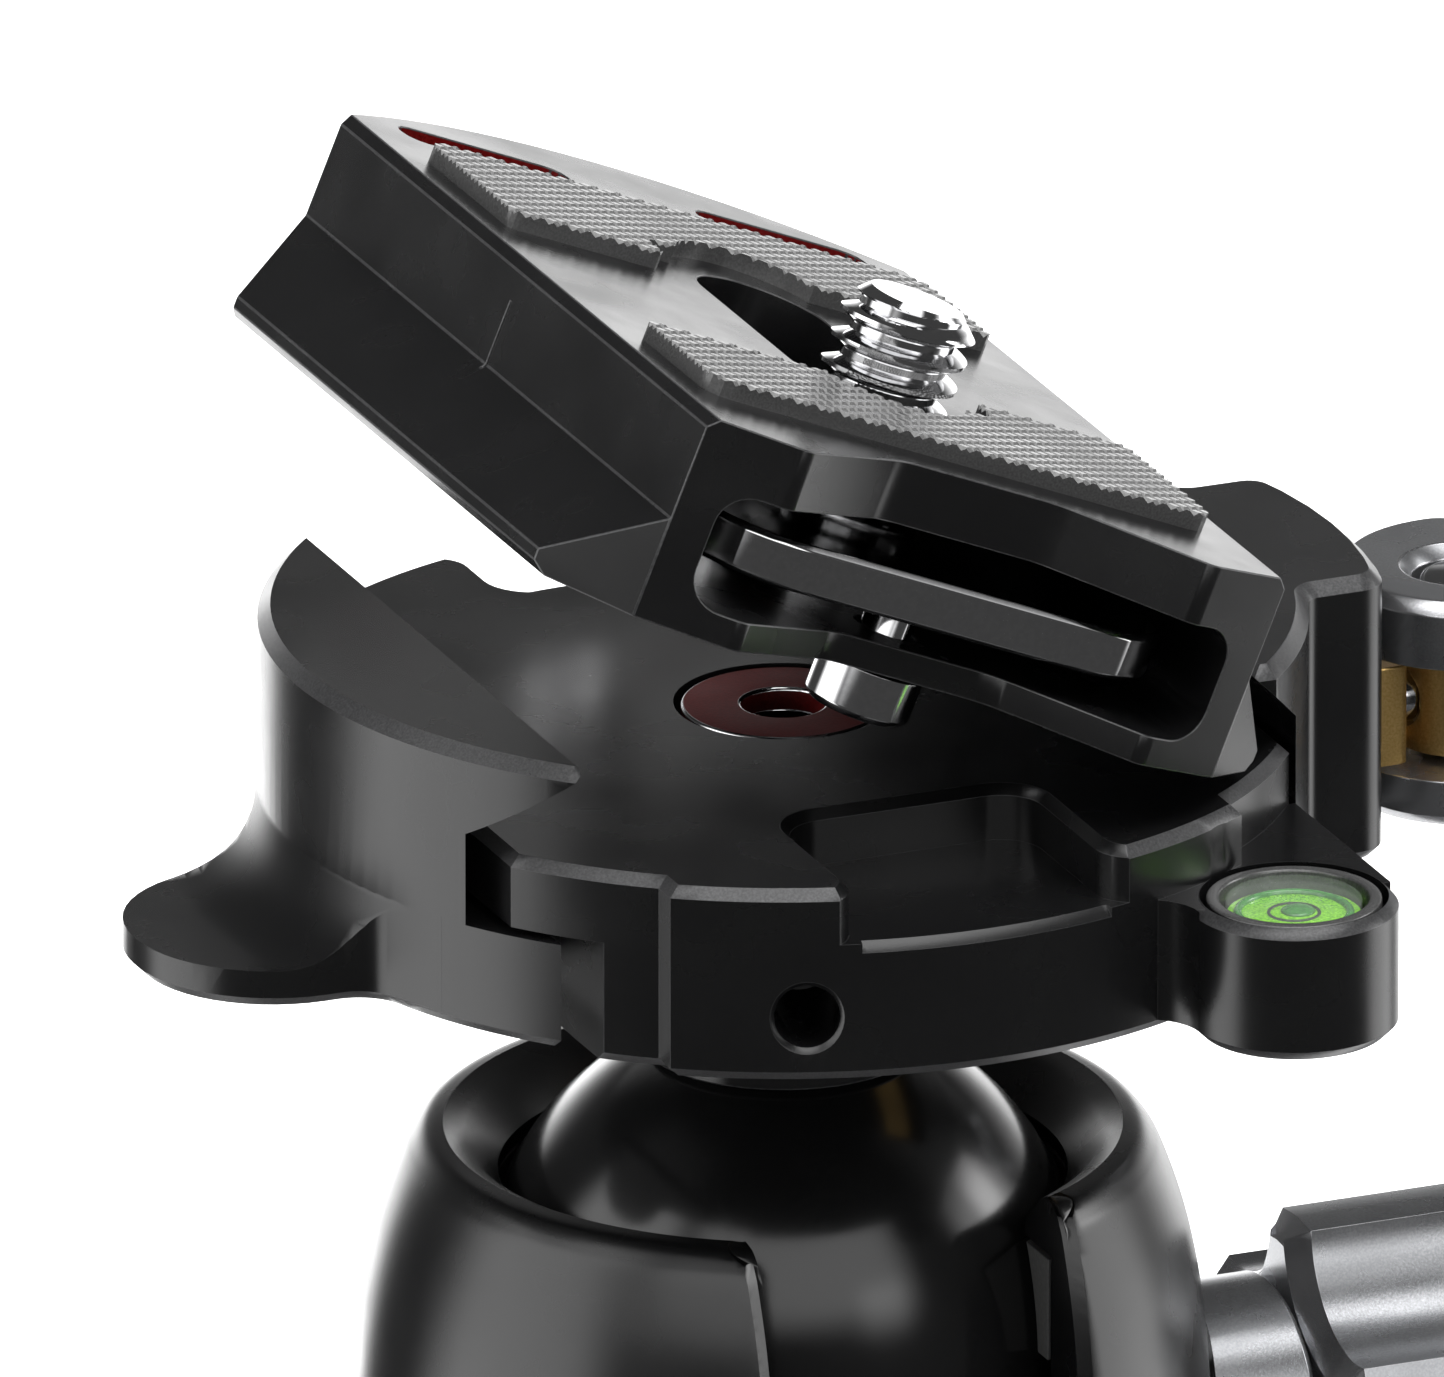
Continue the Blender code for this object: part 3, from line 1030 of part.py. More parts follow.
def build_jaw_carriage(parent):
    top = PLATFORM_Z
    yoke_right = YOKE_LEFT_X + YOKE_THICKNESS
    for side, word in ((-1, "front"), (1, "back")):
        place = (0, side * GUIDE_Y, top - GUIDE_DEPTH)
        turned(f"guide_rod_{word}", rod_profile(GUIDE_RADIUS, GUIDE_LEFT_X, yoke_right - GAP),
               "polished_steel", parent, SMALL_SEGMENTS, "X", place)
        build_spring(f"return_spring_{word}", place, parent)
    half = YOKE_HALF_LENGTH
    outline = rounded([(YOKE_LEFT_X, -half, FINE), (yoke_right, -half, FINE),
                       (yoke_right, half, FINE), (YOKE_LEFT_X, half, FINE)], 2)
    yoke = prism("jaw_yoke", outline, top - YOKE_BOTTOM_DEPTH, top - YOKE_TOP_DEPTH, "brass", parent)
    for side, word in ((-1, "front"), (1, "back")):
        carve(yoke, jaw_bore(f"yoke_guide_{word}_cutter", parent, GUIDE_RADIUS + GAP,
                             YOKE_LEFT_X - OVERRUN, yoke_right + OVERRUN, side * GUIDE_Y,
                             GUIDE_DEPTH))
    carve(yoke, jaw_bore("yoke_rod_cutter", parent, DRAW_ROD_RADIUS + GAP, YOKE_LEFT_X - OVERRUN,
                         yoke_right + OVERRUN, 0, DRAW_ROD_DEPTH))
    rod_end = PIVOT_X - PIN_RADIUS - GAP - GAP
    turned("draw_rod", rod_profile(DRAW_ROD_RADIUS, YOKE_LEFT_X + GAP, rod_end), "polished_steel",
           parent, SMALL_SEGMENTS, "X", (0, 0, top - DRAW_ROD_DEPTH))

    pivot = (PIVOT_X, 0, top - DRAW_ROD_DEPTH)
    barrel = turned("pivot_barrel", [
        (PIN_RADIUS + GAP, -BARREL_HALF_HEIGHT), (BARREL_RADIUS, -BARREL_HALF_HEIGHT),
        (BARREL_RADIUS, BARREL_HALF_HEIGHT), (PIN_RADIUS + GAP, BARREL_HALF_HEIGHT)],
        "brass", parent, MEDIUM_SEGMENTS, "Z", pivot)
    carve(barrel, jaw_bore("barrel_rod_cutter", parent, DRAW_ROD_RADIUS + GAP, YOKE_LEFT_X,
                           PIVOT_X, 0, DRAW_ROD_DEPTH))
    pin_top = top + LEVER_TOP - PIN_DROP
    pin_bottom = top - LEVER_BOTTOM_DEPTH + PIN_DROP
    turned("pivot_pin", rod_profile(PIN_RADIUS, pin_bottom, pin_top, GAP), "polished_steel",
           parent, SMALL_SEGMENTS, "Z", (PIVOT_X, 0, 0))


def build_spring(name, place, parent):
    """A coil around its guide rod, between the left jaw and the bottom of its bore."""
    start = LEFT_FOOT_X + GAP
    end = SPRING_BORE_END_X - JAW_TRAVEL - GAP
    wire = SPRING_WIRE_RADIUS
    length = end - start - 2 * wire
    pitch = length / SPRING_CURLS
    curve = bpy.data.curves.new(name, "CURVE")
    curve.dimensions = "3D"
    curve.bevel_depth = wire
    curve.bevel_resolution = 1
    curve.use_fill_caps = True
    count = SPRING_CURLS * SPRING_POINTS_PER_CURL
    spline = curve.splines.new("POLY")
    spline.points.add(count)
    for index in range(count + 1):
        angle = math.tau * index / SPRING_POINTS_PER_CURL
        x = start + wire + length * index / count
        spline.points[index].co = (x, SPRING_MEAN_RADIUS * math.cos(angle),
                                   SPRING_MEAN_RADIUS * math.sin(angle), 1)
    print(name, "least gap to itself, mm:", round((pitch - 2 * wire) / MM, 3))
    spring = bpy.data.objects.new(name, curve)
    attach(spring, parent)
    spring.location = place
    curve.materials.append(finish_material("polished_steel"))
    bpy.context.scene.collection.objects.link(spring)


def right_jaw_outline():
    end = math.asin(RIGHT_JAW_END_Y / JAW_RADIUS)
    meet = math.asin((BULGE_HALF_WIDTH + BULGE_FILLET) / JAW_RADIUS)
    root_x = math.sqrt(JAW_RADIUS ** 2 - BULGE_HALF_WIDTH ** 2)
    crown = []
    for share in (-2 / 3, -1 / 3, 0, 1 / 3, 2 / 3):
        crown.append((BULGE_X + BULGE_CROWN * (1 - share ** 2), BULGE_HALF_WIDTH * share, 0))
    fillet = rounded([
        (JAW_RADIUS * math.cos(meet), -BULGE_HALF_WIDTH - BULGE_FILLET, 0),
        (root_x, -BULGE_HALF_WIDTH, BULGE_FILLET / 2),
        (BULGE_X, -BULGE_HALF_WIDTH, BULGE_CORNER),
        *crown,
        (BULGE_X, BULGE_HALF_WIDTH, BULGE_CORNER),
        (root_x, BULGE_HALF_WIDTH, BULGE_FILLET / 2),
        (JAW_RADIUS * math.cos(meet), BULGE_HALF_WIDTH + BULGE_FILLET, 0),
    ])
    outline = [(RIGHT_LIP_X, -RIGHT_JAW_END_Y)]
    outline += arc_points(JAW_RADIUS, -end, -meet, SMALL_SEGMENTS // 3)[:-1]
    outline += fillet
    outline += arc_points(JAW_RADIUS, meet, end, SMALL_SEGMENTS // 3)[1:]
    outline.append((RIGHT_LIP_X, RIGHT_JAW_END_Y))
    return outline


def build_right_jaw(parent):
    top = PLATFORM_Z
    jaw = prism("right_jaw", right_jaw_outline(), top - RIGHT_JAW_DEPTH, top + JAW_HEIGHT,
                "black_anodised", parent, JAW_CHAMFER, BODY_CHAMFER)
    face_x = BODY_SIDE_X + GAP
    carve(jaw, dovetail_cutter("right_dovetail_cutter", parent, RIGHT_LIP_X, face_x, face_x,
                               TONGUE_THICKNESS, 1))
    arm_clear = math.sqrt(BODY_RADIUS ** 2 - BODY_SIDE_X ** 2) - 2 * GAP
    reach = BODY_RADIUS + OVERRUN
    arm_top = top - POCKET_DEPTH
    carve(jaw, box_cutter("jaw_end_cutter", parent, (0, -reach, top - BODY_THICKNESS - OVERRUN),
                          (reach, -arm_clear + GAP, arm_top)))
    carve(jaw, jaw_bore("right_rod_cutter", parent, DRAW_ROD_RADIUS + GAP, 0,
                        BULGE_X + OVERRUN, 0, DRAW_ROD_DEPTH))
    for side, word in ((-1, "front"), (1, "back")):
        y = side * JAW_SCREW_Y
        carve(jaw, jaw_bore(f"right_screw_{word}_cutter", parent, JAW_SCREW_RADIUS + GAP, 0,
                            BULGE_X + OVERRUN, y, JAW_SCREW_DEPTH))
        carve(jaw, jaw_bore(f"right_sink_{word}_cutter", parent, JAW_SCREW_HEAD_RADIUS + GAP,
                            JAW_SCREW_SINK_X, BULGE_X + OVERRUN, y, JAW_SCREW_DEPTH))
        head = JAW_SCREW_SINK_X + GAP
        head_end = head + JAW_SCREW_HEAD_LENGTH
        socket = JAW_SCREW_RADIUS - GAP
        screw = [(0, JAW_SCREW_END_X), (JAW_SCREW_RADIUS, JAW_SCREW_END_X),
                 (JAW_SCREW_RADIUS, head), (JAW_SCREW_HEAD_RADIUS, head),
                 (JAW_SCREW_HEAD_RADIUS, head_end), (socket, head_end),
                 (socket, head_end - JAW_SCREW_RADIUS), (0, head_end - JAW_SCREW_RADIUS)]
        turned(f"right_jaw_screw_{word}", screw, "polished_steel", parent, SMALL_SEGMENTS, "X",
               (0, y, top - JAW_SCREW_DEPTH))
    block_outline = rounded([
        (BLOCK_START_X, -BLOCK_HALF_WIDTH, 0), (BLOCK_END_X, -BLOCK_HALF_WIDTH, FINE),
        (BLOCK_END_X, BLOCK_HALF_WIDTH, FINE), (BLOCK_START_X, BLOCK_HALF_WIDTH, 0)], 2)
    middle = top - DRAW_ROD_DEPTH
    block = prism("rod_bush", block_outline, middle - BLOCK_HALF_HEIGHT,
                  middle + BLOCK_HALF_HEIGHT, "brass", parent)
    carve(block, jaw_bore("block_rod_cutter", parent, DRAW_ROD_RADIUS + GAP,
                          BLOCK_START_X - OVERRUN, BLOCK_END_X + OVERRUN, 0, DRAW_ROD_DEPTH))


def cam_outline():
    """The eye's outline around the pivot: round, with a lobe that rises as the lever closes."""
    outline = []
    steps = MEDIUM_SEGMENTS
    for index in range(steps):
        angle = math.tau * index / steps
        turned_by = math.pi - angle
        if turned_by <= 0:
            rise = 0.0
        elif turned_by <= LEVER_SWING:
            rise = JAW_TRAVEL * turned_by / LEVER_SWING
        else:
            fade = (turned_by - LEVER_SWING) / (math.pi - LEVER_SWING)
            rise = JAW_TRAVEL * (1 - fade)
        radius = LEVER_EYE_RADIUS + rise
        outline.append((radius * math.cos(angle), radius * math.sin(angle)))
    return outline


def lever_arm_outline():
    """The arm as a band along an arc about the head's axis, turned out to the open place."""
    half = LEVER_WIDTH / 2
    steps = SMALL_SEGMENTS // 2
    outer = arc_points(PIVOT_X + half, 0, LEVER_REACH, steps)
    tip_centre = (PIVOT_X * math.cos(LEVER_REACH), PIVOT_X * math.sin(LEVER_REACH))
    tip = arc_points(half, LEVER_REACH, LEVER_REACH + math.pi, CORNER_STEPS, tip_centre)
    inner = arc_points(PIVOT_X - half, LEVER_REACH, 0, steps)
    closed = outer + tip[1:-1] + inner
    cosine = math.cos(-LEVER_SWING)
    sine = math.sin(-LEVER_SWING)
    opened = []
    for x, y in closed:
        x -= PIVOT_X
        opened.append((x * cosine - y * sine, x * sine + y * cosine))
    return opened


def build_lever(parent):
    top = PLATFORM_Z + LEVER_TOP
    bottom = PLATFORM_Z - LEVER_BOTTOM_DEPTH
    pivot = (PIVOT_X, 0, 0)
    eye = prism_bmesh(cam_outline(), bottom, top, LEVER_CHAMFER, LEVER_CHAMFER)
    bmesh.ops.translate(eye, verts=eye.verts, vec=pivot)
    lever = add_object("clamp_lever", eye, "grey_anodised", parent, pivot)
    arm = prism_bmesh(lever_arm_outline(), bottom + LEVER_CHAMFER, top - LEVER_ARM_TOP_DROP,
                      LEVER_CHAMFER, LEVER_CHAMFER)
    bmesh.ops.translate(arm, verts=arm.verts, vec=pivot)
    carve(lever, add_object("lever_arm_form", arm, None, parent, cutter=True), "UNION")
    middle = PLATFORM_Z - DRAW_ROD_DEPTH
    slot_low = middle - LEVER_SLOT_HALF
    slot_high = middle + LEVER_SLOT_HALF
    round_slot = prism_bmesh(circle(LEVER_SLOT_RADIUS, (PIVOT_X, 0), SMALL_SEGMENTS), slot_low,
                             slot_high)
    carve(lever, add_object("lever_slot_cutter", round_slot, None, parent, cutter=True))
    start = math.pi - LEVER_SWING - LEVER_SLOT_MARGIN
    end = math.pi + LEVER_SLOT_FRONT
    wedge_radius = LEVER_EYE_RADIUS + JAW_TRAVEL + OVERRUN
    wedge = [(PIVOT_X, 0)] + arc_points(wedge_radius, start, end, SMALL_SEGMENTS, (PIVOT_X, 0))
    wedge_slot = prism_bmesh(wedge, slot_low, slot_high)
    carve(lever, add_object("lever_wedge_cutter", wedge_slot, None, parent, cutter=True))
    sink = PIN_SINK_RADIUS - PIN_RADIUS - GAP
    bore_radius = PIN_RADIUS + GAP
    bore = [(0, bottom - OVERRUN), (PIN_SINK_RADIUS + OVERRUN, bottom - OVERRUN),
            (bore_radius, bottom + sink), (bore_radius, top - sink),
            (PIN_SINK_RADIUS + OVERRUN, top + OVERRUN), (0, top + OVERRUN)]
    carve(lever, turned("pin_bore_cutter", bore, None, parent, MEDIUM_SEGMENTS, "Z", pivot,
                        cutter=True))


def plate_outline():
    """The plate from above: cut foot corners, near end drawn in between ears, bulging far end."""
    set_back = PLATE_FOOT_HALF - PLATE_TOP_HALF
    near_corner_y = -PLATE_CORNER_Y
    foot_y = PLATE_CORNER_Y - set_back
    bulge = PLATE_FAR_Y - PLATE_CORNER_Y
    bulge_radius = (PLATE_TOP_HALF ** 2 + bulge ** 2) / (2 * bulge)
    bulge_half = math.asin(PLATE_TOP_HALF / bulge_radius)
    outline = rounded([
        (-PLATE_FOOT_HALF, -foot_y, 0),
        (-PLATE_TOP_HALF, near_corner_y, 0),
        (-PLATE_EAR_X, -PLATE_EAR_Y, PLATE_EAR_CORNER),
        (-PLATE_SCALLOP_HALF, -PLATE_SCALLOP_Y, PLATE_SCALLOP_FILLET),
        (PLATE_SCALLOP_HALF, -PLATE_SCALLOP_Y, PLATE_SCALLOP_FILLET),
        (PLATE_EAR_X, -PLATE_EAR_Y, PLATE_EAR_CORNER),
        (PLATE_TOP_HALF, near_corner_y, 0),
        (PLATE_FOOT_HALF, -foot_y, 0),
        (PLATE_FOOT_HALF, foot_y, 0),
    ])
    outline += arc_points(bulge_radius, math.pi / 2 - bulge_half, math.pi / 2 + bulge_half,
                          SMALL_SEGMENTS // 2, (0, PLATE_FAR_Y - bulge_radius))
    outline.append((-PLATE_FOOT_HALF, foot_y))
    return outline


def build_plate(parent):
    """Its local X is across the dovetail, Y along it and Z up through the plate."""
    chamfer = PLATE_EDGE_CHAMFER
    side = PLATE_FOOT_SIDE + PLATE_FLANK
    half_section = [
        (PLATE_FOOT_HALF - chamfer, 0), (PLATE_FOOT_HALF, chamfer),
        (PLATE_FOOT_HALF, PLATE_FOOT_SIDE), (PLATE_TOP_HALF, side),
        (PLATE_TOP_HALF, PLATE_HEIGHT - chamfer), (PLATE_TOP_HALF - chamfer, PLATE_HEIGHT),
    ]
    section = half_section + [(-x, z) for x, z in reversed(half_section)]
    reach = PLATE_FAR_Y + OVERRUN
    bar = prism_bmesh(section, -reach, reach)
    bmesh.ops.transform(bar, matrix=Matrix.Rotation(math.pi / 2, 4, "X"), verts=bar.verts)
    plate = add_object("plate", bar, "black_anodised", parent)
    form = prism("plate_outline_form", plate_outline(), -OVERRUN, PLATE_HEIGHT + OVERRUN, None,
                 parent, cutter=True)
    carve(plate, form, "INTERSECT")
    half = TUNNEL_HALF_WIDTH
    tunnel_outline = rounded([
        (-half, TUNNEL_FLOOR, TUNNEL_CORNER), (half, TUNNEL_FLOOR, TUNNEL_CORNER),
        (half, TUNNEL_TOP, TUNNEL_CORNER), (-half, TUNNEL_TOP, TUNNEL_CORNER)])
    tunnel = prism_bmesh(tunnel_outline, -TUNNEL_END_Y, reach)
    bmesh.ops.transform(tunnel, matrix=Matrix.Rotation(math.pi / 2, 4, "X"), verts=tunnel.verts)
    carve(plate, add_object("tunnel_cutter", tunnel, None, parent, cutter=True))
    slot = arc_points(SLOT_RADIUS, math.pi, math.tau, SMALL_SEGMENTS // 2, (0, SCREW_Y))
    slot += arc_points(SLOT_RADIUS, 0, math.pi, SMALL_SEGMENTS // 2, (0, SLOT_FAR_Y))
    middle = (TUNNEL_FLOOR + TUNNEL_TOP) / 2
    carve(plate, prism("slot_cutter", slot, middle, PLATE_HEIGHT + OVERRUN, None, parent,
                       cutter=True))
    tool_slot = rounded([
        (-TOOL_SLOT_HALF, TOOL_SLOT_NEAR_Y, TUNNEL_CORNER),
        (TOOL_SLOT_HALF, TOOL_SLOT_NEAR_Y, TUNNEL_CORNER),
        (TOOL_SLOT_HALF, TOOL_SLOT_FAR_Y, TUNNEL_CORNER),
        (-TOOL_SLOT_HALF, TOOL_SLOT_FAR_Y, TUNNEL_CORNER)])
    carve(plate, prism("tool_slot_cutter", tool_slot, -OVERRUN, middle, None, parent, cutter=True))
    for side, word in ((-1, "left"), (1, "right")):
        near, far = STRAP_SLOT_NEAR_Y, STRAP_SLOT_FAR_Y
        inner, outer = side * STRAP_SLOT_INNER_X, side * STRAP_SLOT_OUTER_X
        strap = rounded([(inner, near, STRAP_SLOT_CORNER), (outer, near, STRAP_SLOT_CORNER),
                         (outer, far, STRAP_SLOT_CORNER), (inner, far, STRAP_SLOT_CORNER)], 3)
        carve(plate, prism(f"strap_slot_{word}_cutter", strap, -OVERRUN, PLATE_HEIGHT + OVERRUN,
                           None, parent, cutter=True))
    for y, word in ((STOP_SCREW_NEAR_Y, "near"), (STOP_SCREW_FAR_Y, "far")):
        build_stop_screw(word, y, plate, parent)


def build_stop_screw(word, y, plate, parent):
    hole_top = TUNNEL_FLOOR + OVERRUN if word == "near" else STOP_SCREW_SHANK_LENGTH + GAP
    carve(plate, rod_cutter(f"stop_hole_{word}_cutter", parent, STOP_SCREW_SHANK_RADIUS + GAP,
                            -OVERRUN, hole_top, "Z", (0, y, 0)))
    shank_top = min(STOP_SCREW_SHANK_LENGTH, CARRIER_BOTTOM - GAP - GAP)
    head_top = -GAP
    low = head_top - STOP_SCREW_PROUD
    chamfer = STOP_SCREW_CHAMFER
    profile = [
        (0, low + STOP_SCREW_SOCKET_DEPTH),
        (STOP_SCREW_SOCKET_RADIUS, low + STOP_SCREW_SOCKET_DEPTH),
        (STOP_SCREW_SOCKET_RADIUS, low),
        (STOP_SCREW_RADIUS - chamfer, low),
        (STOP_SCREW_RADIUS, low + chamfer),
        (STOP_SCREW_RADIUS, head_top),
        (STOP_SCREW_SHANK_RADIUS, head_top),
        (STOP_SCREW_SHANK_RADIUS, shank_top),
        (0, shank_top),
    ]
    turned(f"stop_screw_{word}", profile, "polished_steel", parent, SMALL_SEGMENTS, "Z", (0, y, 0))


def pad_outline():
    """The front pad. Its inner edge steps back beside the slot and clears the screw's slot."""
    half = PAD_HALF_WIDTH
    inner = -PAD_INNER_Y
    slot = SLOT_RADIUS + PAD_SLOT_MARGIN
    rise = inner - SCREW_Y
    meet = math.asin(rise / slot)
    outline = rounded([
        (-half, inner, FINE), (-half, -PAD_OUTER_Y, PAD_CORNER),
        (half, -PAD_OUTER_Y, PAD_CORNER), (half, inner + PAD_STEP, FINE),
        (PAD_STEP_X, inner + PAD_STEP, FINE), (PAD_STEP_X, inner, FINE / 2)], 3)
    outline += arc_points(slot, math.tau + meet, math.pi - meet, SMALL_SEGMENTS // 2, (0, SCREW_Y))
    return outline


def build_pads(parent):
    bottom = PLATE_HEIGHT + PAD_SINK
    outline = pad_outline()
    prism("pad_front", outline, bottom, bottom + PAD_THICKNESS, "black_rubber", parent)
    turned_outline = [(-x, 2 * PAD_MIRROR_Y - y) for x, y in outline]
    prism("pad_rear", turned_outline, bottom, bottom + PAD_THICKNESS, "black_rubber", parent)


def thread_radius(share):
    """Radius across one pitch: a narrow crest, a wider root and straight flanks."""
    share = abs((share + 0.5) % 1.0 - 0.5) * 2
    if share < THREAD_CREST_SHARE:
        return THREAD_RADIUS
    if share > 1 - THREAD_ROOT_SHARE:
        return THREAD_ROOT_RADIUS
    along = (share - THREAD_CREST_SHARE) / (1 - THREAD_ROOT_SHARE - THREAD_CREST_SHARE)
    return THREAD_RADIUS + (THREAD_ROOT_RADIUS - THREAD_RADIUS) * along


def build_camera_screw(parent):
    """The screw stands on the carrier. Its thread is a helix on a grid of turned rows."""
    origin = (0, SCREW_Y, 0)
    head_top = CARRIER_BOTTOM - GAP
    head_bottom = head_top - CAMERA_HEAD_HEIGHT
    thread_bottom = TUNNEL_TOP + GAP
    thread_top = PLATE_HEIGHT + THREAD_PROUD
    tip_bottom = thread_top - THREAD_TIP_CHAMFER
    rows = [
        (CAMERA_HEAD_RADIUS, head_bottom, False), (CAMERA_HEAD_RADIUS, head_top, False),
        (CAMERA_SHANK_RADIUS, head_top, False), (CAMERA_SHANK_RADIUS, thread_bottom, False),
    ]
    row_height = THREAD_PITCH / THREAD_ROWS_PER_PITCH
    count = int((tip_bottom - thread_bottom) / row_height)
    for index in range(1, count + 1):
        z = thread_bottom + (tip_bottom - thread_bottom) * index / count
        rows.append((None, z, True))
    rows.append((THREAD_ROOT_RADIUS, thread_top, False))
    bm = bmesh.new()
    rings = []
    for radius, z, threaded in rows:
        ring = []
        for step in range(THREAD_SEGMENTS):
            turn = step / THREAD_SEGMENTS
            r = thread_radius(z / THREAD_PITCH - turn) if threaded else radius
            ring.append(bm.verts.new((r * math.cos(math.tau * turn),
                                      SCREW_Y + r * math.sin(math.tau * turn), z)))
        rings.append(ring)
    for lower, upper in zip(rings, rings[1:]):
        for step in range(THREAD_SEGMENTS):
            after = (step + 1) % THREAD_SEGMENTS
            bm.faces.new((lower[step], lower[after], upper[after], upper[step]))
    bm.faces.new(list(reversed(rings[0])))
    bm.faces.new(rings[-1])
    screw = add_object("camera_screw", bm, "polished_steel", parent, origin)
    reach = CAMERA_HEAD_RADIUS + OVERRUN
    half = CAMERA_DRIVE_WIDTH / 2
    carve(screw, box_cutter("drive_slot_cutter", parent,
                            (-reach, SCREW_Y - half, head_bottom - OVERRUN),
                            (reach, SCREW_Y + half, head_bottom + CAMERA_DRIVE_DEPTH)))
    clip_bottom = CARRIER_TOP + GAP
    clip = [(CAMERA_SHANK_RADIUS + GAP, clip_bottom), (CLIP_RADIUS, clip_bottom),
            (CLIP_RADIUS, clip_bottom + CLIP_THICKNESS),
            (CAMERA_SHANK_RADIUS + GAP, clip_bottom + CLIP_THICKNESS)]
    turned("screw_clip", clip, "polished_steel", parent, SMALL_SEGMENTS, "Z", origin)


def build_carrier(parent):
    outline = rounded([
        (-CARRIER_FRONT_HALF, CARRIER_FRONT_Y, CARRIER_FRONT_CORNER),
        (CARRIER_FRONT_HALF, CARRIER_FRONT_Y, CARRIER_FRONT_CORNER),
        (CARRIER_BACK_HALF, CARRIER_BACK_Y, CARRIER_BACK_CORNER),
        (-CARRIER_BACK_HALF, CARRIER_BACK_Y, CARRIER_BACK_CORNER)], SMALL_SEGMENTS // 2)
    carrier = prism("screw_carrier", outline, CARRIER_BOTTOM, CARRIER_TOP, "polished_steel",
                    parent, FINE / 2, FINE / 2, (0, SCREW_Y, 0))
    carve(carrier, rod_cutter("carrier_hole_cutter", parent, CAMERA_SHANK_RADIUS + GAP, 0,
                              PLATE_HEIGHT, "Z", (0, SCREW_Y, 0)))


def visible_bounds():
    """Lowest and highest corner of every solid, in world space."""
    bpy.context.view_layer.update()
    graph = bpy.context.evaluated_depsgraph_get()
    low = Vector((math.inf,) * 3)
    high = Vector((-math.inf,) * 3)
    for item in bpy.data.objects:
        if item.type == "EMPTY" or item.hide_render:
            continue
        evaluated = item.evaluated_get(graph)
        mesh = evaluated.to_mesh()
        for vert in mesh.vertices:
            place = item.matrix_world @ vert.co
            low = Vector(map(min, low, place))
            high = Vector(map(max, high, place))
        evaluated.to_mesh_clear()
    return low, high


def main():
    clear_scene()
    knob_axis = (0, 0, KNOB_AXIS_Z)
    lock_axis = (0, 0, PAN_LOCK_Z)
    ball_centre = (0, 0, BALL_CENTRE_Z)
    platform = (0, 0, PLATFORM_Z)
    pivot = (PIVOT_X, 0, PLATFORM_Z)
    root = add_empty("ball_head")
    housing = add_empty("housing_frame", parent=root)
    main_slide = add_empty("main_slide_frame", parent=housing, pivot=knob_axis)
    main_knob = add_empty("main_knob_frame", parent=main_slide, pivot=knob_axis)
    pan_slide = add_empty("pan_slide_frame", parent=housing, pivot=lock_axis)
    pan_knob = add_empty("pan_knob_frame", parent=pan_slide, pivot=lock_axis)
    ball = add_empty("ball_frame", parent=housing, pivot=ball_centre)
    neck = add_empty("neck_frame", parent=ball, pivot=ball_centre)
    clamp = add_empty("clamp_frame", parent=neck, pivot=platform)
    jaw = add_empty("jaw_frame", parent=clamp, pivot=platform)
    lever = add_empty("lever_frame", parent=jaw, pivot=pivot)
    cosine = math.cos(PLATE_TILT)
    sine = math.sin(PLATE_TILT)
    plate_place = (PLATE_EDGE_X - PLATE_FOOT_HALF * cosine, 0,
                   PLATFORM_Z + PLATE_EDGE_HEIGHT + PLATE_FOOT_HALF * sine)
    plate = add_empty("plate_frame", plate_place, clamp, PLATE_TILT)
    screw_axis = (0, SCREW_Y, 0)
    carrier = add_empty("carrier_frame", parent=plate, pivot=screw_axis)
    screw = add_empty("screw_frame", parent=carrier, pivot=screw_axis)

    build_base(root)
    build_housing(housing)
    build_main_lock(main_slide, main_knob)
    build_pan_lock(pan_slide, pan_knob)
    build_ball_and_neck(ball, neck)
    build_clamp_body(clamp)
    build_clamp_fittings(clamp)
    build_right_jaw(clamp)
    build_left_jaw(jaw)
    build_jaw_carriage(jaw)
    build_lever(lever)
    build_plate(plate)
    build_pads(plate)
    build_carrier(carrier)
    build_camera_screw(screw)

    low, high = visible_bounds()
    root.location = (-(low.x + high.x) / 2, -(low.y + high.y) / 2, -low.z)
    print("head axis at, mm:", [round(value / MM, 4) for value in root.location])
    print("plate frame at, mm:", [round(value / MM, 4) for value in plate_place])
    print("size, mm:", [round(value / MM, 3) for value in high - low])


main()
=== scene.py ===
"""The look of the ball head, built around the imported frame.

Each visible piece is modelled again with finer meshes, soft edges and detail, and rides on the
body that it belongs to. Forms are drawn in millimetres, in the head's own frame (+Z up, on the
head's axis) or in the tilted plate's, and make_object turns them into the world's metres.
"""

import json
import math

import bmesh
import bpy
from mathutils import Matrix, Vector


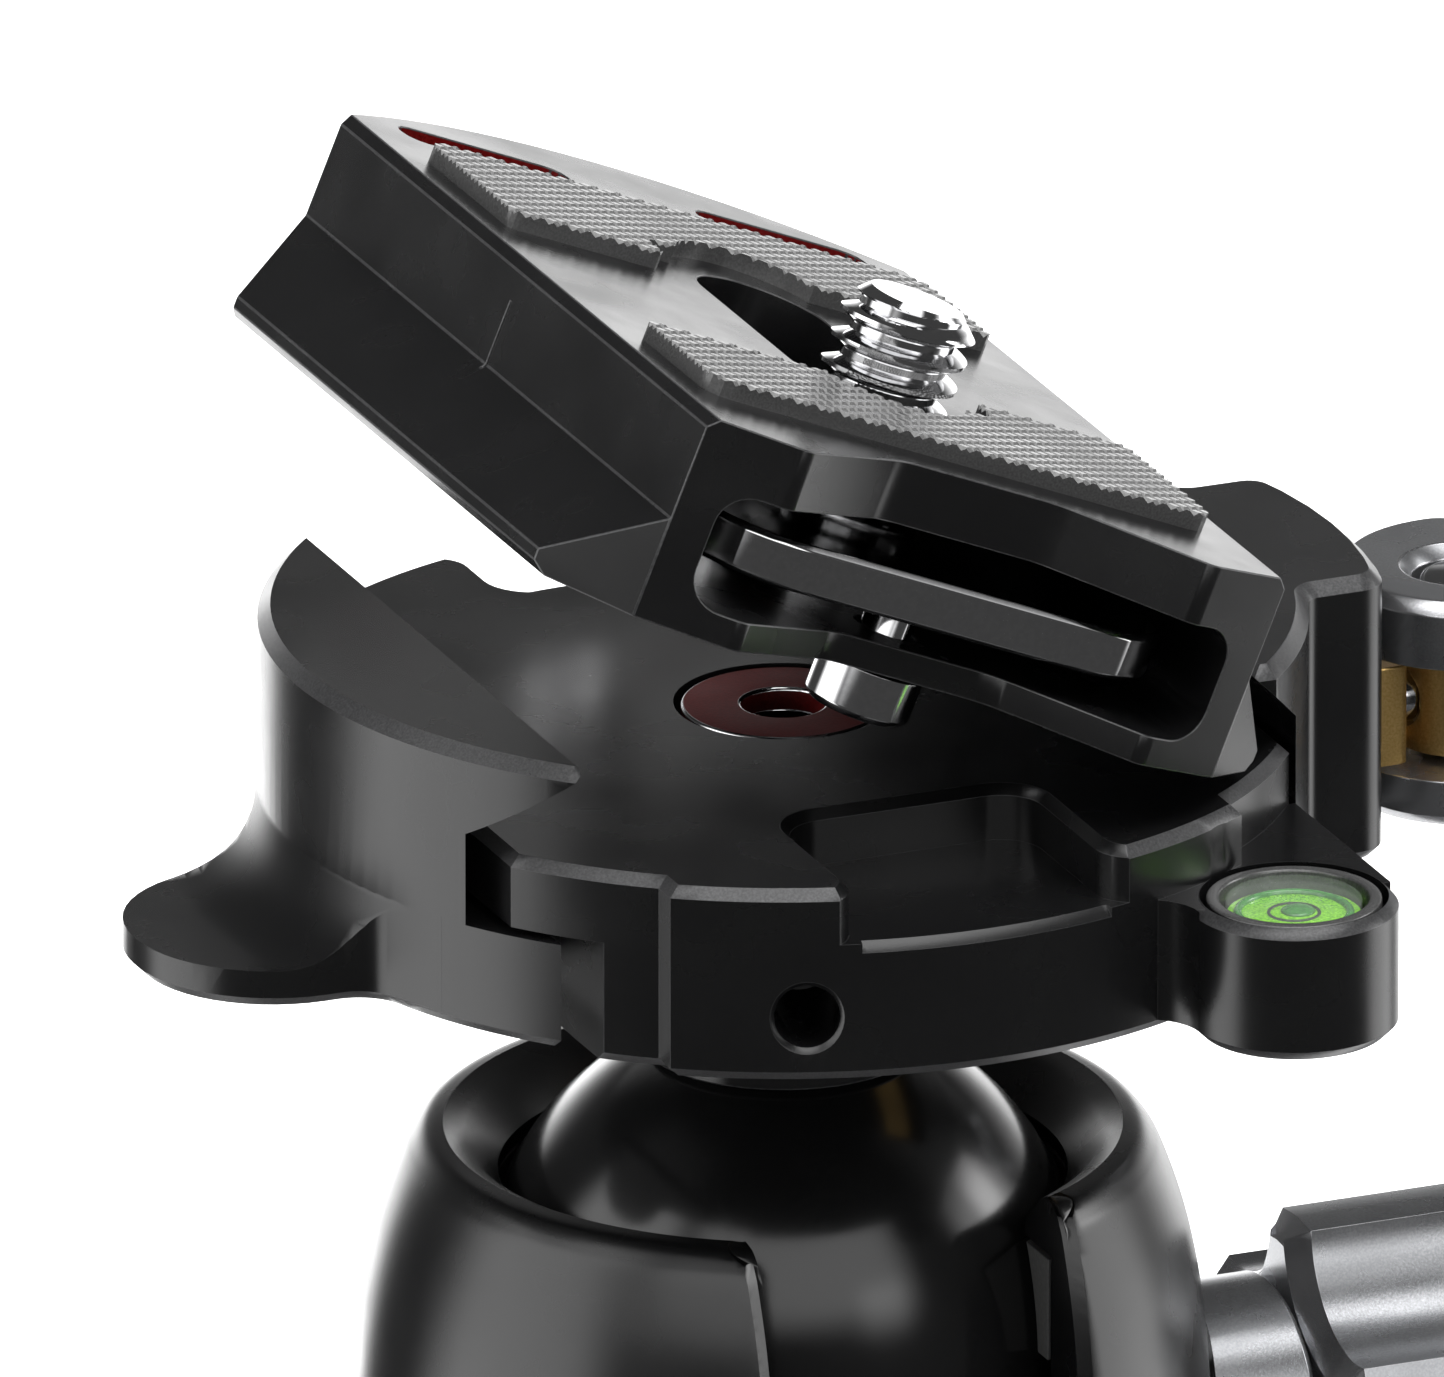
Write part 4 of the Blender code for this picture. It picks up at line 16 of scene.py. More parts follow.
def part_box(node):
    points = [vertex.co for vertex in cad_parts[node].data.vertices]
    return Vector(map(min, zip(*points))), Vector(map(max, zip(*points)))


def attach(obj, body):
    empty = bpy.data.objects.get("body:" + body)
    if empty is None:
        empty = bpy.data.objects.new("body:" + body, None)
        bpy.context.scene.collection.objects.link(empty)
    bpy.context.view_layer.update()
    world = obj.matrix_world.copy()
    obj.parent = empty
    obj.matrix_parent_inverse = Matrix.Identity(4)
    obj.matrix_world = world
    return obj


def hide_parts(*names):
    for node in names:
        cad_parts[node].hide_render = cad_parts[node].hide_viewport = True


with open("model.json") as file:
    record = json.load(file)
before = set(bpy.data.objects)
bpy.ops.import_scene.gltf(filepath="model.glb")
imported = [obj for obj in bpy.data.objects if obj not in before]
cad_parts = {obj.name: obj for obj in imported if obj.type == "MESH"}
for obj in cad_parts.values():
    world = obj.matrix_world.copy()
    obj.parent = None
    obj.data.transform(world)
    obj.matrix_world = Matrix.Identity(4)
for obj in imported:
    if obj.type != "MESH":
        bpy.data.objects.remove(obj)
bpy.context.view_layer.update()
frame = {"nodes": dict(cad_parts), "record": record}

MM = 0.001

# General fits, in millimetres like every length below unless it says otherwise
GAP = 0.3
OVERRUN = 3.0
FINE = 0.5

# Mesh fineness
FINE_SEGMENTS = 144
MEDIUM = 72
SMALL = 40
ARC_STEPS = SMALL // 2
FEW_STEPS = SMALL // 3
BALL_RINGS = 48
CORNER_STEPS = 8
SMALL_CORNER_STEPS = 3
BLUNT_CORNER_STEPS = 2
MERGE = 1e-4
SAME_LEVEL = 1e-3
MITRE_LIMIT = 0.5

# Main stack
BALL_RADIUS = 14.0
BORE_RADIUS = BALL_RADIUS + 1.6
HOUSING_RADIUS = BORE_RADIUS + 4.1
BEYOND_HOUSING = HOUSING_RADIUS + OVERRUN
BALL_Z = 30.7
PLATFORM_Z = 60.0
SEAT_RADIUS = BALL_RADIUS + GAP
BALL_CENTRE = (0, 0, BALL_Z)
ORIGIN = (0, 0, 0)

# Housing: a profile below the shoulder, the shoulder as set-backs from the radius at heights
# above the ball's centre, and the rim above it
SHOULDER_FOOT_Z = 22.2
SHOULDER = (
    (0, SHOULDER_FOOT_Z - BALL_Z), (0.1, -5.5), (0.35, -1.5), (0.75, 1.7), (1.4, 4.6),
    (2.3, 7.2), (2.8, 8.1), (3.4, 8.7), (4.2, 8.9))
HOUSING_FOOT = ((BORE_RADIUS, 8.0), (19.3, 8.0), (HOUSING_RADIUS, 8.4),
                (HOUSING_RADIUS, SHOULDER_FOOT_Z))
RIM_TOP = (HOUSING_RADIUS - 4.2, BALL_Z + 8.9)
HOUSING_RIM = (RIM_TOP, (14.57, 39.1), (13.0, 37.4), (13.0, 36.7), (BORE_RADIUS, 36.7))
SHOULDER_STEPS = 6
NOTCH_HALF = 7.5
NOTCH_INNER_Y = 2.0
NOTCH_TOP = RIM_TOP[1] - BALL_Z + OVERRUN
NOTCH_ROWS = 16
NOTCH_EDGE = 0.6
POST_RADIUS = 9.0

# Ball seats, as heights from the ball's centre, and the neck
UPPER_SEAT_FOOT = 0.8
UPPER_SEAT_TOP = 5.7
SEAT_OUTER = BORE_RADIUS - GAP
LOWER_SEAT_HOLE = 6.5
LOWER_SEAT_TOP = 6.7
LOWER_SEAT_BOTTOM_Z = 15.9
NECK_RADIUS = 6.45
NECK_SHOULDER = ((NECK_RADIUS, 50.0), (5.95, 50.5), (2.5, 50.5), (2.5, 44.5), (0, 44.5))

# Main knob and its lock
KNOB_AXIS = (0, 0, SHOULDER_FOOT_Z)
MAIN_BORE = 2.9
SHOE_RADIUS = 3.5
SHOE_END = math.sqrt(BORE_RADIUS ** 2 - SHOE_RADIUS ** 2) - 0.9
SHOE_START = SHOE_END - 3.7
KNOB_RADIUS = 9.0
KNOB_LOBES = 5
KNOB_CREST = math.radians(10.6)
KNOB_CREST_STEPS = 2
FLUTE_RADIUS = 5.17
FLUTE_CENTRE = 6.4 + FLUTE_RADIUS
KNOB_START = 24.5
KNOB_END = 44.5
KNOB_CHAMFER = 1.0
KNOB_BORE_END = 38.5
CAP_POCKET_START = 43.3
CAP_POCKET_RADIUS = 4.7

# Pan lock, on the far side
PAN_LOCK_AXIS = (0, 0, 9.9)
PAN_LOCK_BORE = 1.6

# Clamp body
BODY_RADIUS = 24.7
BEYOND_BODY = BODY_RADIUS + OVERRUN
SECTOR_RADIUS = 23.6
STEP_X = 14.0
SIDE_X = 19.1
LOWER_LEFT_X = 16.0
BODY_BOTTOM = PLATFORM_Z - 9.2
BELOW_BODY = BODY_BOTTOM - OVERRUN
TONGUE = 3.4
CHAMFER = 0.5
POCKET_HALF = 6.1
POCKET_FLOOR = PLATFORM_Z - 2.6
POCKET_CORNER = 2.0
POCKET_EDGE = 0.45
POCKETS = ((13.8, -1), (17.8, 1))
SIDES = ((-1, "front"), (1, "back"))
FRONT_HOLE = ((0, -17.0), (1.5, -17.0), (1.5, -24.45), (4.75, -BEYOND_BODY), (0, -BEYOND_BODY))
FRONT_HOLE_PLACE = (0, 0, 53.9)
FRONT_HOLE_TURN = math.radians(-20.1)
CLAMP_BORE = ((0, BELOW_BODY), (2.5, BELOW_BODY), (2.5, 55.75), (3.7, 55.75), (3.7, 58.45),
              (5.0, 58.45), (5.0, 63.0), (0, 63.0))

# Bubble level
LEVEL_PLACE = (14.6, -25.0, 0)
LEVEL_X, LEVEL_Y = LEVEL_PLACE[:2]
BOSS_RADIUS = 4.75
BOSS_TOP = 57.2
RECESS_RADIUS = 4.3
RECESS_FLOOR = 54.2
ARM_LEFT_X = 5.3
ARM_FILLET = 2.6
VIAL_TOP = 56.3
RING_RADIUS = 2.55
RING_TUBE = 0.2
MARK_RADIUS = 1.15
MARK_TUBE = 0.08
BUBBLE_RADIUS = 0.8
BUBBLE_HEIGHT = 0.22
BUBBLE_PLACE = (LEVEL_X + 0.25, LEVEL_Y + 0.125, VIAL_TOP)
BUBBLE_ANGLES = (0.3, 0.6, 0.9, 1.2)
BUBBLE_SEGMENTS = 48
RING_SEGMENTS = 96
RING_SIDES = 16
MARK_SIDES = 10

# Jaws
JAW_TOP = PLATFORM_Z + 4.8
JAW_CHAMFER = 0.6
JAW_RADIUS = 23.9
LEFT_LIP_X = -16.8
LEFT_FACE_X = -20.6
LEFT_FOOT_X = -17.6
LEFT_JAW_BOTTOM = 51.2
RIGHT_LIP_X = 16.2
RIGHT_FACE_X = 19.4
RIGHT_JAW_BOTTOM = 51.0
RIGHT_JAW_END_Y = 16.4
LIP_LAND = 0.3
JAW_TIP = 0.8
BULGE_X = 26.7
BULGE_CROWN = 1.0
BULGE_HALF = 7.3
BULGE_CORNER = 1.6
BULGE_FILLET = 1.8
BULGE_SHARES = (-2 / 3, -1 / 3, 0, 1 / 3, 2 / 3)
THUMB_TIP_X = -31.8
THUMB_HALF = 6.9
THUMB_FILLET = 4.0
THUMB_TOP = 53.1
SCOOP_RADIUS = 4.4
SCOOP_STEPS = 10
JAW_TRAVEL = 1.2

# Guide rods, yoke, draw rod, bush block and jaw screws
GUIDE_Y = 7.0
GUIDE_Z = 53.8
GUIDE_HOLE = 1.55
GUIDE_LEFT_X = -20.9
SPRING_BORE = ((0, -BEYOND_BODY), (2.65, -BEYOND_BODY), (2.65, -9.8), (GUIDE_HOLE, -9.8),
               (GUIDE_HOLE, 11.6), (0, 11.6))
YOKE_LEFT_X = 7.6
YOKE_RIGHT_X = 11.6
YOKE_HALF = 9.4
YOKE_BOTTOM = 52.2
YOKE_TOP = 57.4
ROD_PLACE = (0, 0, 56.0)
ROD_HOLE = 1.55
BUSH_START_X = 28.0
BUSH_END_X = 29.9
BUSH_HALF = 2.7
BUSH_HALF_HEIGHT = 2.4
PIVOT_X = 33.6
PIVOT = (PIVOT_X, 0, 0)
JAW_SCREW_Y = 4.6
JAW_SCREW_Z = 55.5
JAW_SCREW_HOLE = 1.4
JAW_SCREW_START_X = 14.5
JAW_SCREW_BORE = ((0, 0), (JAW_SCREW_HOLE, 0), (JAW_SCREW_HOLE, 22.0), (1.9, 22.0),
                  (1.9, BULGE_X + OVERRUN), (0, BULGE_X + OVERRUN))

# Lever
LEVER_TOP = 61.9
LEVER_BOTTOM = 51.0
LEVER_ARM_TOP = 60.7
EYE_RADIUS = 5.6
LEVER_HALF = 2.3
LEVER_CHAMFER = 0.6
LEVER_SWING = math.radians(100)
LEVER_REACH = math.radians(56)
SLOT_LOW = 53.3
SLOT_HIGH = 58.7
SLOT_EYE_RADIUS = 3.5
SLOT_START = math.pi - LEVER_SWING - math.radians(38)
SLOT_END = math.pi + math.radians(75)
PIN_BORE = ((0, 48.0), (5.9, 48.0), (2.3, 51.6), (2.3, 61.3), (5.9, 64.9), (0, 64.9))

# Quick-release plate, in its own tilted frame: X across the dovetail, Y along it, Z through it
PLATE_TILT = math.radians(22.7)
PLATE_EDGE = (15.4, 60.57)
FOOT_HALF = 19.1
TOP_HALF = 15.35
PLATE_HEIGHT = 9.8
ABOVE_PLATE = PLATE_HEIGHT + OVERRUN
HALF_SECTION = ((18.6, 0), (FOOT_HALF, 0.5), (FOOT_HALF, 1.05), (TOP_HALF, 4.8), (TOP_HALF, 9.3),
                (14.85, PLATE_HEIGHT))
PLATE_CORNER_Y = 21.7
FOOT_CORNER_Y = 17.95
PLATE_FAR_Y = 26.7
BEYOND_PLATE = PLATE_FAR_Y + OVERRUN
NEAR_END = ((10.7, -23.3, 1.0), (4.1, -19.5, 3.0))
TUNNEL_HALF = 13.5
TUNNEL_FLOOR = 1.4
TUNNEL_TOP = 6.9
TUNNEL_MIDDLE = (TUNNEL_FLOOR + TUNNEL_TOP) / 2
TUNNEL_CORNER = 1.6
TUNNEL_END_Y = 15.0
SLOT_RADIUS = 3.25
SCREW_Y = -7.5
SCREW_PLACE = (0, SCREW_Y, 0)
SLOT_FAR_Y = 6.0
TOOL_SLOT = (-5.2, 5.2, -12.6, 11.0)
STRAP_SLOTS = ((-12.4, -3.5, 20.3, 22.6), (3.5, 12.4, 20.3, 22.6))
STRAP_CORNER = 0.9
INDEX_LINE = ((-18.35, 0.03, 4.6), (-15.2, 0.17, 7.9))
STOP_HOLES = ((-16.0, 4.4), (18.6, 2.7))
STOP_HOLE_RADIUS = 1.5

# Pads, with knurling on them
PAD_TOP = 10.65
PAD_HALF = 13.3
PAD_OUTER_Y = 17.0
PAD_INNER_Y = -8.8
PAD_STEP_X = 5.2
PAD_STEP_Y = -6.6
PAD_CORNER = 1.2
PAD_SLOT = 3.95
PAD_MIRROR = 0.2
KNURL_PITCH = 0.62
KNURL_HEIGHT = 0.2
KNURL_FLAT = 0.5
KNURL_SQUASH = 0.72

# Camera screw and its carrier
THREAD_RADIUS = 3.17
THREAD_ROOT = 2.45
THREAD_PITCH = 1.27
THREAD_BOTTOM = 7.2
THREAD_TOP = 14.7
THREAD_TIP = THREAD_TOP - 0.05625
TIP_RADIUS = THREAD_ROOT - 0.225
THREAD_ROWS = 20
THREAD_SEGMENTS = 96
CREST_SHARE = 0.16
ROOT_SHARE = 0.30
SCREW_FOOT = ((4.6, 1.4), (4.6, 2.6), (2.3, 2.6), (2.3, THREAD_BOTTOM))
DRIVE_SLOT = ((-7.6, -8.05, -1.6), (7.6, -6.95, 2.1))
CARRIER = ((-12.9, -21.2, 4.8), (12.9, -21.2, 4.8), (11.0, -1.5, 1.0), (-11.0, -1.5, 1.0))
CARRIER_BOTTOM = 2.9
CARRIER_TOP = 5.2
CARRIER_CHAMFER = 0.25
CARRIER_HOLE = 2.6

# Turned pieces: finish, segments, axis, a point on the axis, (radius, height) profile
TURNED = {
    "pan_base": ("black_anodised", FINE_SEGMENTS, "Z", ORIGIN, (
        (6.6, 0), (18.8, 0), (19.6, 0.8), (19.6, 7.2), (19.2, 7.6), (18.3, 7.6), (18.3, 7.1),
        (15.0, 7.1), (15.0, 7.6), (9.0, 7.6), (9.0, 8.9), (8.0, 9.4), (8.0, 10.4), (9.0, 10.9),
        (9.0, 11.9), (2.3, 11.9), (2.3, 7.5), (6.6, 7.5))),
    "tripod_socket_bush": ("polished_steel", MEDIUM, "Z", ORIGIN, (
        (4.8, 0), (6.3, 0), (6.3, 7.2), (4.3, 7.2), (4.3, 0.5))),
    "pan_washer": ("white_polymer", MEDIUM, "Z", ORIGIN, (
        (15.3, 7.4), (18.0, 7.4), (18.0, 7.7), (15.3, 7.7))),
    "pan_retainer": ("polished_steel", MEDIUM, "Z", ORIGIN, (
        (2.3, 12.2), (11.2, 12.2), (11.2, 13.4), (2.3, 13.4))),
    "pan_screw": ("polished_steel", SMALL, "Z", ORIGIN, (
        (0, 7.8), (2.0, 7.8), (2.0, 13.7), (3.6, 13.7), (3.6, 15.4), (1.6, 15.4), (1.6, 14.3),
        (0, 14.3))),
    "floor_ring": ("polished_steel", MEDIUM, "Z", ORIGIN, (
        (9.3, 8.0), (15.3, 8.0), (15.3, 15.6), (11.7, 15.6), (11.7, 11.9), (9.3, 11.9))),
    "knob_collar": ("grey_anodised", MEDIUM, "X", KNOB_AXIS, (
        (2.9, BORE_RADIUS), (6.2, BORE_RADIUS), (6.2, 23.9), (5.9, 24.2), (2.9, 24.2))),
    "pan_lock_pad": ("brass", SMALL, "Y", PAN_LOCK_AXIS, (
        (0, 8.3), (0.3, 8.3), (1.3, 9.3), (1.3, 10.7), (0, 10.7))),
    "pan_lock_knob": ("grey_anodised", MEDIUM, "Y", PAN_LOCK_AXIS, (
        (0, 25.6), (1.6, 25.6), (1.6, 20.6), (4.8, 20.6), (5.4, 21.2), (5.4, 28.5), (4.8, 29.1),
        (0, 29.1))),
    "centre_disc": ("dark_red", MEDIUM, "Z", ORIGIN, (
        (1.9, 58.75), (4.7, 58.75), (4.7, 59.95), (1.9, 59.95))),
    "clamp_screw": ("polished_steel", SMALL, "Z", ORIGIN, (
        (0, 47.55), (2.2, 47.55), (2.2, 56.05), (3.4, 56.05), (3.4, 58.45), (1.6, 58.45),
        (1.6, 56.75), (0, 56.75))),
    "level_cup": ("black_rubber", MEDIUM, "Z", LEVEL_PLACE, (
        (0, 54.5), (4.0, 54.5), (4.0, 57.1), (3.4, 57.1), (3.4, 55.3), (0, 55.3))),
    "pivot_barrel": ("brass", MEDIUM, "Z", (PIVOT_X, 0, 56.0), (
        (2.3, -2.4), (3.1, -2.4), (3.1, 2.4), (2.3, 2.4))),
}
JAW_SCREW = ((0, 14.8), (1.1, 14.8), (1.1, 22.3), (1.6, 22.3), (1.6, 23.9), (0.8, 23.9),
             (0.8, 22.8), (0, 22.8))
STOP_SCREW = ((0, -1.4), (1.1, -1.4), (1.1, -2.6), (2.15, -2.6), (2.5, -2.25), (2.5, -0.3),
              (1.2, -0.3), (1.2, 2.3), (0, 2.3))
SCREW_CLIP = ((2.6, 5.5), (4.0, 5.5), (4.0, 6.0), (2.6, 6.0))

# Rods: finish, segments, axis, a point on the axis, radius, start, end, chamfer
RODS = {
    "brake_shoe": ("brass", SMALL, "X", KNOB_AXIS, SHOE_RADIUS, SHOE_START, SHOE_END, 0),
    "main_screw": ("polished_steel", SMALL, "X", KNOB_AXIS, 2.6, SHOE_END + GAP, 38.2, 0.3),
    "main_knob_cap": ("black_anodised", MEDIUM, "X", KNOB_AXIS, 4.4, 43.6, 44.5, 0.3),
    "pan_lock_screw": ("polished_steel", SMALL, "Y", PAN_LOCK_AXIS, 1.3, 11.0, 25.3, 0),
    "level_vial": ("level_green", MEDIUM, "Z", LEVEL_PLACE, 3.1, 55.6, VIAL_TOP, 0),
    "level_lens": ("clear_cover", MEDIUM, "Z", LEVEL_PLACE, 3.1, 56.6, 57.0, 0),
    "guide_rod_front": ("polished_steel", SMALL, "X", (0, -GUIDE_Y, GUIDE_Z),
                        1.25, -20.6, 11.3, 0),
    "guide_rod_back": ("polished_steel", SMALL, "X", (0, GUIDE_Y, GUIDE_Z), 1.25, -20.6, 11.3, 0),
    "draw_rod": ("polished_steel", SMALL, "X", ROD_PLACE, 1.25, 7.9, 31.0, 0),
    "pivot_pin": ("polished_steel", SMALL, "Z", PIVOT, 2.0, 51.4, 61.5, 0.3),
}

# Finishes: material, main tone, worn tone, roughness range, metallic, grain in cycles per metre,
# grain depth, specular, coat
FINISHES = {
    "black_anodised": ("blasted_black", (0.0035, 0.0035, 0.0037), (0.007, 0.007, 0.0073),
                       (0.22, 0.30), 0.0, 11000, 0.0022, 0.6, 0.0),
    # A lighter, more metallic copy of the black anodised finish for chamfers and rounded edges: a
    # painted highlight on the edges
    "black_painted_highlight": ("blasted_black_painted_highlight", (0.03, 0.03, 0.031), (0.07, 0.07, 0.072),
                   (0.26, 0.38), 0.3, 9000, 0.003, 0.7, 0.0),
    "satin_black": ("satin_black_finish", (0.006, 0.006, 0.0062), (0.010, 0.010, 0.0103),
                    (0.15, 0.21), 0.0, 12000, 0.0012, 0.6, 0.0),
    "grey_anodised": ("grey_finish", (0.30, 0.305, 0.315), (0.38, 0.385, 0.40),
                      (0.22, 0.32), 0.9, 9000, 0.003, 0.5, 0.0),
    # A lighter copy of the grey anodised finish for chamfers and rounded edges: a painted
    # highlight on the edges
    "grey_painted_highlight": ("grey_finish_painted_highlight", (0.5, 0.505, 0.52), (0.6, 0.6, 0.62),
                  (0.18, 0.28), 0.95, 8000, 0.002, 0.5, 0.0),
    "polished_steel": ("polished_finish", (0.70, 0.70, 0.71), (0.76, 0.76, 0.77),
                       (0.05, 0.10), 1.0, 4000, 0.0004, 0.5, 0.0),
    "brass": ("brass_finish", (0.58, 0.37, 0.12), (0.72, 0.50, 0.20),
              (0.34, 0.46), 0.9, 8000, 0.02, 0.5, 0.0),
    "dark_red": ("red_finish", (0.05, 0.002, 0.002), (0.08, 0.004, 0.004),
                 (0.4, 0.55), 0.0, 7000, 0.008, 0.2, 0.0),
    "strap_red": ("strap_red_finish", (0.12, 0.004, 0.004), (0.2, 0.01, 0.01),
                  (0.25, 0.4), 0.3, 7000, 0.01, 0.5, 0.0),
    "black_rubber": ("knurled_finish", (0.08, 0.08, 0.08), (0.13, 0.13, 0.13),
                     (0.2, 0.3), 0.4, 9000, 0.004, 0.8, 0.0),
    "cup_black": ("cup_finish", (0.012, 0.014, 0.012), (0.03, 0.04, 0.03),
                  (0.3, 0.45), 0.0, 7000, 0.01, 0.5, 0.0),
    "white_polymer": ("polymer_finish", (0.09, 0.09, 0.088), (0.12, 0.12, 0.118),
                      (0.4, 0.5), 0.0, 5000, 0.006, 0.5, 0.0),
    "level_green": ("level_fluid", (0.10, 0.34, 0.01), (0.32, 0.78, 0.03),
                    (0.12, 0.2), 0.0, 9000, 0.004, 0.5, 0.6),
    "ring_green": ("level_ring_finish", (0.03, 0.16, 0.03), (0.06, 0.26, 0.05),
                   (0.1, 0.18), 0.0, 5000, 0.002, 0.5, 0.8),
}
CLOUD_SCALE = 180
GRAIN_DETAIL = 2.0
CLOUD_DETAIL = 4.0
SMEAR_DETAIL = 3.0
RAMP = (0.3, 0.7)
WORN_RAMP = (0.35, 0.75)
SMEAR_ROUGHNESS = (0.02, 0.1)
COAT_ROUGHNESS = 0.1
COVER_TINT = (0.9, 1.0, 0.9, 1)
COVER_ALPHA = 0.05
WHITE = (1, 1, 1, 1)
FLOOR_TONE = (0.8, 0.8, 0.8, 1)
FLOOR_ROUGHNESS = 0.9
# Finish for each finish's chamfers and rounded edges: on black and grey pieces a lighter copy, a
# painted highlight; the red disc's edges get polished steel
EDGE_OF = {"black_anodised": "black_painted_highlight", "satin_black": "black_painted_highlight",
           "grey_anodised": "grey_painted_highlight", "dark_red": "polished_steel"}

# Width of the soft edges where it isn't the default, and 0 for edges that stay crisp
SOFT_EDGES = {
    "plate": 0.16, "camera_screw": 0, "pad_front": 0, "pad_rear": 0, "clamp_lever": 0.1,
    "centre_disc": 0.16, "level_vial": 0.1, "level_lens": 0.08, "ball": 0,
    "stop_screw_near": 0.06, "stop_screw_far": 0.06, "pivot_barrel": 0.1, "left_jaw": 0.08,
    "clamp_body": 0.1, "right_jaw": 0.08, "rod_bush": 0.1,
}
DEFAULT_SOFT_EDGE = 0.12
SHARP = math.radians(24)
WELD = 0.004
SOFT_SEGMENTS = 2
FLAT_WEIGHT = 60

# Material slots of every piece: its finish, the finish of its edges (a painted highlight on black
# and grey pieces), and the strap's red
EDGE_MATERIAL = 1
STRAP_MATERIAL = 2

# Soft panels in reflections, in degrees: azimuth, half width, softness, elevation, half height,
# softness, radiance
PANELS = (
    (170.0, 25.0, 8.0, 2.5, 47.0, 12.0, 2.3),
    (92.0, 12.0, 6.0, -22.0, 26.0, 8.0, 1.8),
    (60.0, 28.0, 10.0, -5.0, 9.0, 5.0, 1.0),
    (350.0, 18.0, 7.0, -10.0, 42.0, 10.0, 2.3),
    (354.0, 7.0, 4.0, 23.0, 8.0, 5.0, 4.0),
    (62.0, 42.0, 12.0, -34.0, 44.0, 10.0, 1.2),
    (252.0, 48.0, 8.0, 31.0, 19.0, 7.0, 1.7),
    (288.0, 9.0, 5.0, 14.0, 8.0, 5.0, 1.3),
    (270.0, 100.0, 20.0, 82.0, 22.0, 7.0, 3.5),
)
FLOOR_GLOW = 0.82
WORLD_AMBIENT = 0.35
ROOM_RADIANCE = 0.06

# Lamps: name, azimuth, elevation, then distance, width and height in metres, and radiance in
# watts per square metre and steradian
LAMPS = (
    ("left_box", 150, 24, 0.5, 0.30, 0.42, 6.0),
    ("right_card", 48, 3, 0.5, 0.50, 0.18, 8.0),
    ("top_box", -44, 62, 0.55, 0.40, 0.30, 12.0),
)

# Stage and camera, in metres. The lens is long, as the photograph has no perspective
FLOOR_SIZE = 1.6
FLOOR_CELLS = 8
MIRROR_HEIGHT = 0.035
VIEW_AZIMUTH = math.radians(-22.6)
VIEW_ELEVATION = math.radians(20.4)
VIEW_DISTANCE = 2.735
VIEW_RIGHT = -0.002773
VIEW_UP = 0.000568
CLIP_END = 10
LENS = 1500
SENSOR = 36

low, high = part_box("pan_base")
AXIS = Vector(((low.x + high.x) / 2, (low.y + high.y) / 2, 0))
AIM = AXIS + Vector((0, 0, PLATFORM_Z * MM))
HEAD = Matrix.Translation(AXIS)
PLATE_PLACE = MM * Vector((PLATE_EDGE[0] - FOOT_HALF * math.cos(PLATE_TILT), 0,
                           PLATE_EDGE[1] + FOOT_HALF * math.sin(PLATE_TILT)))
PLATE = HEAD @ Matrix.Translation(PLATE_PLACE) @ Matrix.Rotation(PLATE_TILT, 4, "Y")
STAND_UP = Matrix.Rotation(math.pi / 2, 4, "X")

PIECES = {}
TOOLS = []
KINDS = {}


def make_object(name, bm, place=HEAD):
    """Turns a form in millimetres into an object in metres at its place."""
    bmesh.ops.remove_doubles(bm, verts=bm.verts, dist=MERGE)
    bmesh.ops.recalc_face_normals(bm, faces=bm.faces)
    bmesh.ops.scale(bm, vec=(MM, MM, MM), verts=bm.verts)
    mesh = bpy.data.meshes.new(name)
    bm.to_mesh(mesh)
    bm.free()
    mesh.shade_smooth()
    item = bpy.data.objects.new(name, mesh)
    item.matrix_world = place
    bpy.context.scene.collection.objects.link(item)
    return item


def add_piece(name, bm, finish, place=HEAD):
    item = make_object(name + "_skin", bm, place)
    for kind in (finish, EDGE_OF.get(finish, finish), "strap_red"):
        item.data.materials.append(KINDS[kind])
    PIECES[name] = item
    return item


def carve(target, form, operation="DIFFERENCE", place=HEAD):
    """Cuts a form out of a piece, or joins or intersects the two. Returns the tool for it."""
    tool = make_object("tool", form, place)
    TOOLS.append(tool)
    step = target.modifiers.new(operation.title(), "BOOLEAN")
    step.operation = operation
    step.object = tool
    step.solver = "EXACT"
    return tool


def turned(profile, segments=MEDIUM, axis="Z", centre=ORIGIN):
    """Turns a profile of (radius, height) points around an axis through the centre."""
    bm = bmesh.new()
    verts = [bm.verts.new((radius, 0, height)) for radius, height in profile]
    pairs = list(zip(verts, verts[1:]))
    touches_axis = profile[0][0] == 0 and profile[-1][0] == 0
    if not touches_axis:
        pairs.append((verts[-1], verts[0]))
    edges = [bm.edges.new(pair) for pair in pairs]
    bmesh.ops.spin(
        bm, geom=verts + edges, axis=(0, 0, 1), cent=ORIGIN, dvec=ORIGIN,
        angle=math.tau, steps=segments, use_merge=True, use_duplicate=False)
    bmesh.ops.remove_doubles(bm, verts=bm.verts, dist=MERGE)
    turns = {
        "Z": Matrix.Identity(4),
        "X": Matrix.Rotation(math.pi / 2, 4, "Y"),
        "Y": Matrix.Rotation(-math.pi / 2, 4, "X"),
    }
    bmesh.ops.transform(bm, matrix=Matrix.Translation(centre) @ turns[axis], verts=bm.verts)
    return bm


def rod(radius, start, end, axis="X", centre=ORIGIN, segments=SMALL, chamfer=0):
    profile = [(0, start), (radius - chamfer, start), (radius, start + chamfer),
               (radius, end - chamfer), (radius - chamfer, end), (0, end)]
    if chamfer == 0:
        profile = [(0, start), (radius, start), (radius, end), (0, end)]
    return turned(profile, segments, axis, centre)


